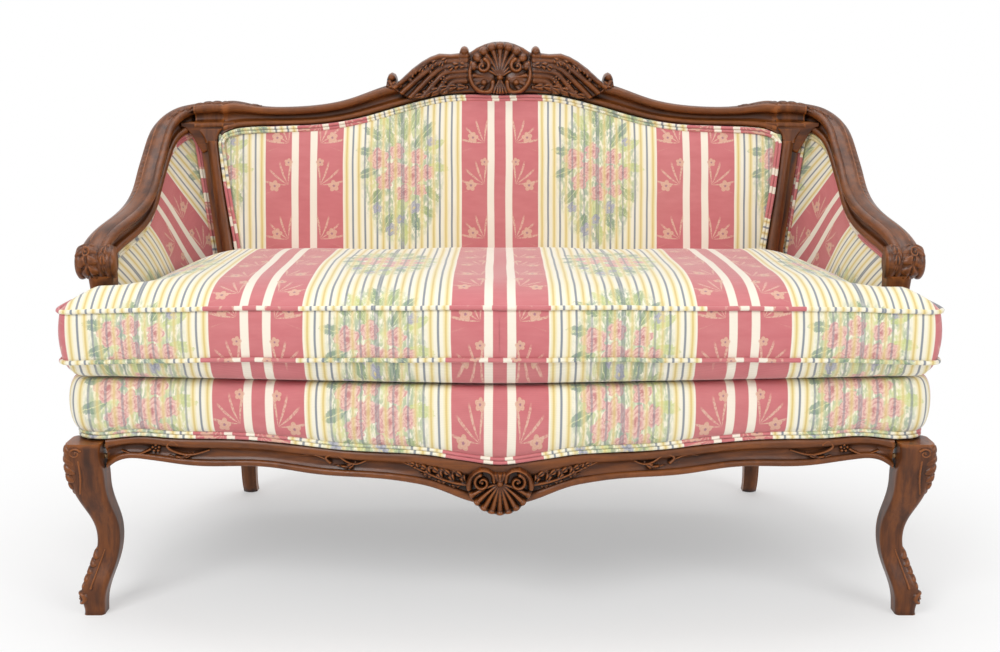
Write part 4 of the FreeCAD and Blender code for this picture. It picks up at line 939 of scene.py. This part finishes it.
def arm_leaf(side, hand):
    """Leaf that runs along the outer top of the arm rail, down to the hand rest."""
    def base(u, v, out):
        share = np.clip(0.10 + 0.86 * u / 560.0, 0, 1)
        p = ARM.at(share.ravel()).reshape(u.shape + (3,))
        along = ARM.along(share.ravel()).reshape(u.shape + (3,))
        inward = np.cross(along, UP)
        inward /= np.linalg.norm(inward, axis=-1, keepdims=True)
        up = np.cross(inward, along)
        tilt = 0.72 + v / 19.0
        return p - inward * (np.sin(tilt) * (22.0 + out))[..., None] + up * (np.cos(tilt) * (23.0 + out))[..., None]
    carved(f"arm_leaf_{side}", np.arange(0, 560.1, 1.4), lambda a: -9.0, lambda a: 14.0, 24,
           lambda r: (r.leaf([(0, 3), (150, 3), (300, 3), (450, 3), (560, 3)], 11, 4.6, 30),
                      r.ridge([(0, -6), (280, -6), (560, -6)], 2.0, 3.0, 1.0, 1.0)),
           lambda u, v, h, drop: base(u, v, (h - 1.5) * drop - 2.0 * (1 - drop)),
           lambda x, z: base(x, z, -8.0), finish=WALNUT_Y, hand=hand, roll=3.0)


for hand, side in ((1, "right"), (-1, "left")):
    corner_web(side, hand)
    arm_leaf(side, hand)
    leg_plates(side, hand)
    hand_rests(side, hand)
    corner_leaves(side, hand)


# Inside back

def stile_x(z):
    return smooth(STILE_X, z)


def crown(s, v):
    """Share of a stuffed panel's full height: full in the middle, falling at its sides and top."""
    return (1 - abs(2 * s - 1) ** 5) * (1 - max(0.0, v) ** 7)


def back_panel():
    cols, rows = 241, 97
    points, uv = [], []
    for j in range(rows):
        v = j / (rows - 1)
        for i in range(cols):
            s = i / (cols - 1)
            guess = (2 * s - 1) * (stile_x(560) - 12)
            z = 388.0 + v * (smooth(CREST_LOW, abs(guess)) - 0.8 - 388.0)
            x = (2 * s - 1) * (stile_x(z) - 11.8)
            z = 388.0 + v * (smooth(CREST_LOW, abs(x)) - 0.8 - 388.0)
            puff = 27.0 * crown(s, v)
            puff += 1.1 * noise1(x / 45.0, z / 70.0) * (1 - v) + 0.8 * noise1(z / 38.0, x / 60.0)
            y = back_y(x, z) - 14.0 - puff
            points.append((x, y, z))
            uv.append((x * 0.001, (z - 655.0) * 0.001))
    return make("inside_back_upholstery", points, grid_faces(rows, cols), uv, material=BROCADE,
                replaces=("back_cover", "back_padding"))


back_panel()


# Wings

SIDE_LOW = Line([(532, 246, 0), (566, 196, 0), (592, 110, 0), (604, 0, 0), (612, -136, 0)])
OUT = np.array([0.83, 0.56, 0.0])


def wing_point(s, v):
    at, inward, up = arm_frame(0.02 + 0.96 * s)
    end = 1 - min((0.02 + 0.96 * s) * 6, 1.0)
    top = at + inward * (0.14 * ARM_SIZE[1]) - up * (ARM_SIZE[0] / 2 + 3.0 * end + 1.2)
    low = SIDE_LOW.at(s) + (0, 0, 388.0)
    p = low * (1 - v) + top * v
    swell = 17.0 * crown(s, v) * math.sin(math.pi * (0.25 + 0.5 * v))
    return p - OUT * swell


def wing_panel(side):
    right = 1.0 if side == "right" else -1.0
    cols, rows = 121, 91
    points, uv = [], []
    run = np.linspace(0, 1, cols) * SIDE_LOW.length
    for j in range(rows):
        v = j / (rows - 1)
        for i in range(cols):
            s = i / (cols - 1)
            p = wing_point(s, v)
            fore = run[i] - 80.0
            rise = p[2] - 520.0
            points.append((p[0] * right, p[1], p[2]))
            uv.append(((fore - 0.8 * rise) * 0.00078 * right, (0.8 * fore + rise) * 0.00078 + 0.01))
    return make(f"wing_upholstery_{side}", points, grid_faces(rows, cols), uv, material=BROCADE,
                replaces=(f"wing_cover_{side}", f"wing_padding_{side}"), flip=side == "left")


for side in ("left", "right"):
    wing_panel(side)


# Deck front roll

BORDER_LINE = Line([(0, apron_y(0) - 4, 0), (150, apron_y(150) - 4, 0), (320, apron_y(320) - 4, 0),
                    (480, apron_y(480) - 4, 0), (560, -291, 0), (608, -289, 0), (632, -284, 0), (648, -270, 0),
                    (655, -250, 0), (656, -222, 0), (653, -192, 0), (646, -168, 0)])
WELT_R = 3.0


def border_at(t):
    """Point, outward way and wood height on the deck's front line; t runs from -1 at the left to 1."""
    p, along = BORDER_LINE.at(abs(t)), BORDER_LINE.along(abs(t))
    out = np.cross(along, UP)
    hand = -1.0 if t < 0 else 1.0
    flip = np.array([hand, 1.0, 1.0])
    p = p + (max(p[0] - 560.0, 0.0) * 0.13, 0.0, 0.0)
    return p * flip, out * flip, smooth(APRON_LINE, abs(p[0]))


def front_roll():
    cols = 401
    shape = [(-12 + 20.5 * math.cos(a) ** 0.7, 0.5 + 0.5 * math.sin(a)) for a in np.linspace(-0.5, 0.499, 33) * math.pi]
    brow = len(shape)
    shape += [(-12.0 - 29.0 * k / 8, 1.0) for k in range(1, 9)]
    rows = len(shape)
    up = [0.0]
    for (n0, f0), (n1, f1) in zip(shape, shape[1:]):
        up.append(up[-1] + math.hypot(n1 - n0, 75.0 * (f1 - f0)))
    points, uv = [], []
    for k in range(rows):
        n, f = shape[k]
        for i in range(cols):
            t = 2 * i / (cols - 1) - 1
            p, out, wood = border_at(t)
            low, top = wood + 10.8, 383.6
            z = low + f * (top - low)
            ripple = 0.9 * noise1(t * 46.0, 3.0) * math.sin(math.pi * min(max(f, 0), 1))
            q = p + out * (n + ripple)
            if k >= brow:
                share = (k - brow + 1) / (rows - brow)
                edge = p - out * 12.0
                aim = np.array([min(max(edge[0], -590.0), 590.0), max(edge[1], -234.0), 0.0])
                q = edge * (1 - share) + aim * share
                z = top - 1.6 * share
            points.append((q[0], q[1], z))
            uv.append((t * BORDER_LINE.length * 0.00101, (up[k] - 44.0) * 0.001))
    faces = grid_faces(rows, cols)
    faces.append(tuple(k * cols for k in range(brow)))
    faces.append(tuple(k * cols + cols - 1 for k in reversed(range(brow))))
    return make("deck_front_upholstery", points, faces, uv, material=BROCADE,
                replaces=("deck_front_roll",))


front_roll()


def deck():
    widths = [(-260, 600), (-150, 598), (0, 588), (100, 566), (170, 528), (212, 486)]
    cols, rows = 91, 41
    points = []
    for j in range(rows):
        v = j / (rows - 1)
        y = -240.0 + v * 448.0
        half = smooth([(w[0] + 260, w[1]) for w in widths], y + 260)
        for i in range(cols):
            s = i / (cols - 1)
            x = (2 * s - 1) * half
            sag = 1.4 * math.sin(math.pi * s) * math.sin(math.pi * v)
            points.append((x, y - 18.0 * (x / 600.0) ** 2 * v, 383.8 - 3.0 * abs(2 * s - 1) ** 4 - sag))
    return make("deck_decking", points, grid_faces(rows, cols), [(p[0] * 0.001, p[1] * 0.001) for p in points],
                material=DECKING, replaces=("deck_cover", "deck_padding"))


deck()


# Double welts

def double_welt(name, route, across, replaces, u0):
    """Two cords side by side; across(i) is the way from the first to the second."""
    first = np.array(route)
    second = first + np.array([across(i) for i in range(len(route))]) * (2 * WELT_R + 0.1)
    a = cord(name + "_outer", resample(first, 3.0), WELT_R, BROCADE, u0=u0, replaces=replaces)
    b = cord(name + "_inner", resample(second, 3.0), WELT_R, BROCADE, u0=u0 + 0.004)


def back_edge(s, v):
    guess = (2 * s - 1) * (stile_x(560) - 12)
    z = 388.0 + v * (smooth(CREST_LOW, abs(guess)) - 0.5 - 388.0)
    x = (2 * s - 1) * (stile_x(z) - 11.5)
    z = 388.0 + v * (smooth(CREST_LOW, abs(x)) - 0.5 - 388.0)
    return np.array([x, back_y(x, z) - 14.0, z])


def back_welts():
    route, ways = [], []
    for v in np.linspace(0.02, 0.955, 24):
        route.append(back_edge(0.0, v) + (3.6, -WELT_R - 3.0, 0))
        ways.append((1, 0, 0))
    for s in np.linspace(0.012, 0.988, 80):
        route.append(back_edge(s, 1.0) + (0, -WELT_R - 3.0, -3.6))
        ways.append((0, 0, -1))
    for v in np.linspace(0.955, 0.02, 24):
        route.append(back_edge(1.0, v) + (-3.6, -WELT_R - 3.0, 0))
        ways.append((-1, 0, 0))
    double_welt("back_welting", route, lambda i: np.array(ways[i], float), ("back_welt",), 0.0)


def wing_welts(side):
    right = np.array([1.0 if side == "right" else -1.0, 1.0, 1.0])
    route, ways = [], []
    for v in np.linspace(0.02, 0.93, 20):
        route.append(wing_point(0.0, v) - OUT * (WELT_R + 2.6) + (2.6, -2.4, 0))
        ways.append((0.74, -0.67, 0))
    for s in np.linspace(0.03, 0.975, 50):
        route.append(wing_point(s, 1.0) - OUT * (WELT_R + 2.6) + (0, 0, -3.6))
        ways.append((0, 0, -1))
    for v in np.linspace(0.90, 0.02, 20):
        route.append(wing_point(1.0, v) - OUT * (WELT_R + 2.6) + (0, 3.6, 0))
        ways.append((0.1, 1, 0))
    route = [r * right for r in route]
    double_welt(f"wing_welting_{side}", route, lambda i: np.array(ways[i], float) * right, (f"wing_welt_{side}",), 0.35)


def seat_welts():
    route = []
    for t in np.linspace(-1, 1, 161):
        p, out, wood = border_at(t)
        q = p - out * 5.0
        route.append((q[0], q[1], wood + WELT_R + 0.5))
    double_welt("seat_welting", route, lambda i: np.array([0.0, 0.0, 1.0]), ("seat_welt",), 0.023)


back_welts()
wing_welts("left")
wing_welts("right")
seat_welts()


# Loose cushion

def cushion_outline():
    right = CUSHION_OUTLINE
    left = [(-x, y, r) for x, y, r in right[-2:0:-1]]
    return resample(rounded(right + left), 6.0, closed=True)


def edge_distance(points, outline):
    """Distance from each plan point to the outline."""
    a, b = outline, np.roll(outline, -1, axis=0)
    best = np.full(len(points), 1e9)
    for p, q in zip(a, b):
        d = q - p
        t = np.clip(((points - p) @ d) / max(d @ d, 1e-9), 0, 1)
        near = p + t[:, None] * d
        best = np.minimum(best, np.linalg.norm(points - near, axis=1))
    return best


def seam_rise(x, y):
    """The seams rise towards the middle of the cushion's front."""
    across = np.cos(np.clip(np.abs(x) / 660.0, 0, 1) * math.pi / 2)
    forward = np.clip((80.0 - y) / 380.0, 0, 1)
    return 15.0 * across * forward ** 1.5


def cushion():
    outline = cushion_outline()
    middle = min(range(len(outline)), key=lambda i: abs(outline[i][0]) + (1000 if outline[i][1] > 0 else 0))
    outline = np.roll(outline, -middle, axis=0)
    n = len(outline)
    xs, ys = np.arange(-660, 661, 10.0), np.arange(-366, 220, 10.0)
    inner = np.array([(x, y) for x in xs for y in ys])
    far = edge_distance(inner, outline) > 5.0
    verts = [Vector(p) for p in outline] + [Vector(p) for p in inner[far]]
    edges = [(i, (i + 1) % n) for i in range(n)]
    flat, _, faces, *_ = delaunay_2d_cdt(verts, edges, [list(range(n))], 1, 1e-5)
    flat = np.array([tuple(p) for p in flat])
    depth = edge_distance(flat, outline)
    x, y = flat[:, 0], flat[:, 1]
    soft = 1 - np.exp(-depth / 46.0)
    lumps = 1.3 * np.sin(x / 71.0 + y / 90.0) + 0.9 * np.sin(x / 33.0 - y / 47.0 + 1.0)
    lift = seam_rise(x, y)
    top = CUSHION_TOP_PIPING + lift + (44.0 - 0.9 * lift) * soft + lumps * soft
    low_seam = CUSHION_LOW_PIPING + lift
    low = low_seam - (low_seam - CUSHION_LOW + 0.4) * (1 - np.exp(-depth / 12.0))
    top_piece = make("cushion_top_cloth", np.stack([x, y, top], 1), faces, np.stack([x * 1.03, y + 110.0], 1) * 0.001,
                     "cushion", BROCADE, replaces=("cushion_top_panel", "cushion_filling"))
    low_piece = make("cushion_bottom_cloth", np.stack([x, y, low], 1), faces, np.stack([x * 1.03, y + 262.0], 1) * 0.001,
                     "cushion", BROCADE, replaces=("cushion_bottom_panel",), flip=True)
    ahead = np.roll(outline, -1, axis=0) - np.roll(outline, 1, axis=0)
    out = np.stack([ahead[:, 1], -ahead[:, 0]], 1) / np.linalg.norm(ahead, axis=1)[:, None]
    step = np.linalg.norm(np.roll(outline, -1, axis=0) - outline, axis=1)
    run = np.concatenate([[0.0], np.cumsum(step)])
    rows = 17
    points, uv = [], []
    for k in range(rows):
        f = k / (rows - 1)
        for i in range(n + 1):
            j = i % n
            z = CUSHION_LOW_PIPING + f * (CUSHION_TOP_PIPING - CUSHION_LOW_PIPING) + seam_rise(*outline[j])
            belly = 5.0 * math.sin(math.pi * f) * (1 + 0.25 * noise1(run[i] / 40.0, 2.0))
            q = outline[j] + out[j] * belly
            points.append((q[0], q[1], z))
            hand = 1.0 if outline[1][0] > outline[0][0] else -1.0
            reach = (run[i] if i <= n // 2 else run[i] - run[-1]) * hand + outline[0][0]
            uv.append((reach * 0.00103, (z - 430.0) * 0.001))
    side_piece = make("cushion_boxing_cloth", points, grid_faces(rows, n + 1), uv, "cushion", BROCADE,
                      replaces=("cushion_boxing",))
    for label, z, start in (("top", CUSHION_TOP_PIPING, 0.0), ("bottom", CUSHION_LOW_PIPING, 0.006)):
        drift = np.array([1.2 * noise1(run[i] / 60.0, start * 9) for i in range(n)])
        route = np.column_stack([outline + out * 2.6, z + drift + seam_rise(outline[:, 0], outline[:, 1])])
        cord(f"cushion_{label}_cord", route, 3.6, BROCADE, "cushion", start, True,
                       (f"cushion_{label}_piping",))


cushion()


# Outer covers

def outside_back():
    cols, rows = 121, 61
    points, uv = [], []
    for j in range(rows):
        v = j / (rows - 1)
        for i in range(cols):
            s = i / (cols - 1)
            x = (2 * s - 1) * (stile_x(300 + 440 * v) - 24)
            z = 262.0 + v * (smooth(CREST_LOW, abs(x)) + 14 - 262.0)
            sway = 0.8 * noise1(x / 90.0, 1.0) * math.sin(math.pi * v)
            points.append((x, back_y(x, z) + 24.0 + 2.5 + sway, z))
            uv.append((-x * 0.001, z * 0.001))
    return make("outside_back_cloth", points, grid_faces(rows, cols), uv, material=BROCADE,
                replaces=("outside_back_cover",), flip=True)


def outside_arm(side):
    right = 1.0 if side == "right" else -1.0
    low_line = Line([(534, 232, 0), (578, 172, 0), (622, 92, 0), (652, -20, 0), (660, -138, 0)])
    cols, rows = 81, 61
    points, uv = [], []
    for j in range(rows):
        v = j / (rows - 1)
        for i in range(cols):
            s = i / (cols - 1)
            at, inward, up = arm_frame(0.03 + 0.925 * s)
            top = at - inward * (0.34 * ARM_SIZE[1]) - up * (ARM_SIZE[0] / 2 + 4.0)
            p = (low_line.at(s) + (0, 0, 292.0)) * (1 - v) + top * v + OUT * 2.5
            points.append((p[0] * right, p[1], p[2]))
            uv.append((low_line.length * s * 0.001, p[2] * 0.001))
    return make(f"outside_arm_cloth_{side}", points, grid_faces(rows, cols), uv, material=BROCADE,
                replaces=(f"outside_arm_cover_{side}",), flip=side == "right")


outside_back()
for side in ("left", "right"):
    outside_arm(side)


# Cloth under the seat, and the cushion's zipper

def dust_cloth():
    widths = [(-260, 600), (-150, 598), (0, 588), (100, 566), (170, 528), (212, 486)]
    cols, rows = 97, 41
    points = []
    for j in range(rows):
        v = j / (rows - 1)
        y = -220.0 + v * 388.0
        half = smooth([(w[0] + 260, w[1]) for w in widths], y + 260) - 20.0
        for i in range(cols):
            s = i / (cols - 1)
            x = (2 * s - 1) * half
            sag = 3.0 * math.sin(math.pi * s) * math.sin(math.pi * v) + 0.5 * noise1(x / 40.0 + y / 90.0, 3.0)
            points.append((x, y - 18.0 * (x / 600.0) ** 2 * v, 246.0 - 3.0 * abs(2 * s - 1) ** 4 - sag))
    return make("dust_cloth_sheet", points, grid_faces(rows, cols), [(p[0] * 0.001, p[1] * 0.001) for p in points],
                material=CAMBRIC, replaces=("dust_cover",), flip=True)


def zipper():
    outline = cushion_outline()
    line = sorted((p for p in outline if p[1] > 150 and abs(p[0]) < 302), key=lambda p: p[0])
    points, route = [], []
    for row in range(5):
        for x, y in line:
            points.append((x, y + 5.6 + 0.5 * math.sin(math.pi * row / 4), 449.0 + 3.0 * row))
    for x, y in line:
        route.append((x, y + 6.6, 455.0))
    make("zipper_tape", points, grid_faces(5, len(line)), [(p[0] * 0.001, p[2] * 0.001) for p in points], "cushion",
         DECKING, ("cushion_zipper",), flip=True)
    cord("zipper_teeth", resample(np.array(route), 3.0), 1.3, BRASS, "cushion")


dust_cloth()
zipper()


# Room, lights and camera

def room():
    floor = bpy.data.meshes.new("floor")
    floor.from_pydata([(-9, -7, 0), (9, -7, 0), (9, 6, 0), (-9, 6, 0)], [], [(0, 1, 2, 3)])
    piece = bpy.data.objects.new("floor", floor)
    bpy.context.scene.collection.objects.link(piece)
    mat, n, shader = material("pale_floor")
    shader.inputs["Base Color"].default_value = (0.93, 0.93, 0.93, 1)
    shader.inputs["Roughness"].default_value = 0.9
    where = n.new("ShaderNodeTexCoord").outputs["Object"]
    reach = n.new("ShaderNodeVectorMath", operation="LENGTH")
    n.link(n.scaled(where, (1.0, 1.25, 1.0)), reach.inputs[0])
    rays = n.new("ShaderNodeLightPath")
    seen = n.math("MAXIMUM", rays.outputs["Is Camera Ray"],
                  n.math("MAXIMUM", rays.outputs["Is Glossy Ray"], rays.outputs["Is Transmission Ray"]))
    far = n.math("SUBTRACT", 1.0, n.below(reach.outputs["Value"], 0.75, 0.55))
    white = n.new("ShaderNodeEmission")
    blend = n.new("ShaderNodeMixShader")
    n.link(n.math("MULTIPLY", seen, n.math("MAXIMUM", far, 0.35)), blend.inputs[0])
    n.link(shader.outputs[0], blend.inputs[1])
    n.link(white.outputs[0], blend.inputs[2])
    n.link(blend.outputs[0], mat.node_tree.nodes["Material Output"].inputs["Surface"])
    floor.materials.append(mat)
    world = bpy.data.worlds.new("studio")
    bpy.context.scene.world = world
    world.use_nodes = True
    n = Nodes(world.node_tree)
    back = world.node_tree.nodes["Background"]
    rays = n.new("ShaderNodeLightPath")
    seen = n.math("MAXIMUM", rays.outputs["Is Camera Ray"],
                  n.math("MAXIMUM", rays.outputs["Is Glossy Ray"], rays.outputs["Is Transmission Ray"]))
    back.inputs["Color"].default_value = (1, 1, 1, 1)
    n.link(n.math("ADD", n.math("MULTIPLY", seen, 0.55), 0.45), back.inputs["Strength"])


def lamp(name, at, target, size, power):
    light = bpy.data.lights.new(name, "AREA")
    light.shape = "RECTANGLE"
    light.size, light.size_y = size
    light.energy = power
    piece = bpy.data.objects.new(name, light)
    piece.location = at
    piece.rotation_euler = (Vector(target) - Vector(at)).to_track_quat("-Z", "Y").to_euler()
    bpy.context.scene.collection.objects.link(piece)


def camera():
    lens = bpy.data.cameras.new("camera")
    lens.sensor_width = 36.0
    lens.lens = 46.1
    piece = bpy.data.objects.new("camera", lens)
    piece.location = (0.0, -1.90 + (FRONT_Y + SHIFT_Y) * 0.001, 0.84)
    piece.rotation_euler = (math.radians(90.0 - 11.02), 0.0, 0.0)
    bpy.context.scene.collection.objects.link(piece)
    bpy.context.scene.camera = piece


room()
lamp("key", (-1.6, -2.6, 2.6), (0, 0, 0.5), (1.8, 1.4), 62)
lamp("fill", (2.2, -2.2, 1.8), (0, 0, 0.5), (1.6, 1.6), 30)
lamp("top", (0.0, 0.4, 3.2), (0, 0, 0.4), (2.4, 1.6), 34)
camera()
bpy.context.scene.view_settings.view_transform = "Standard"
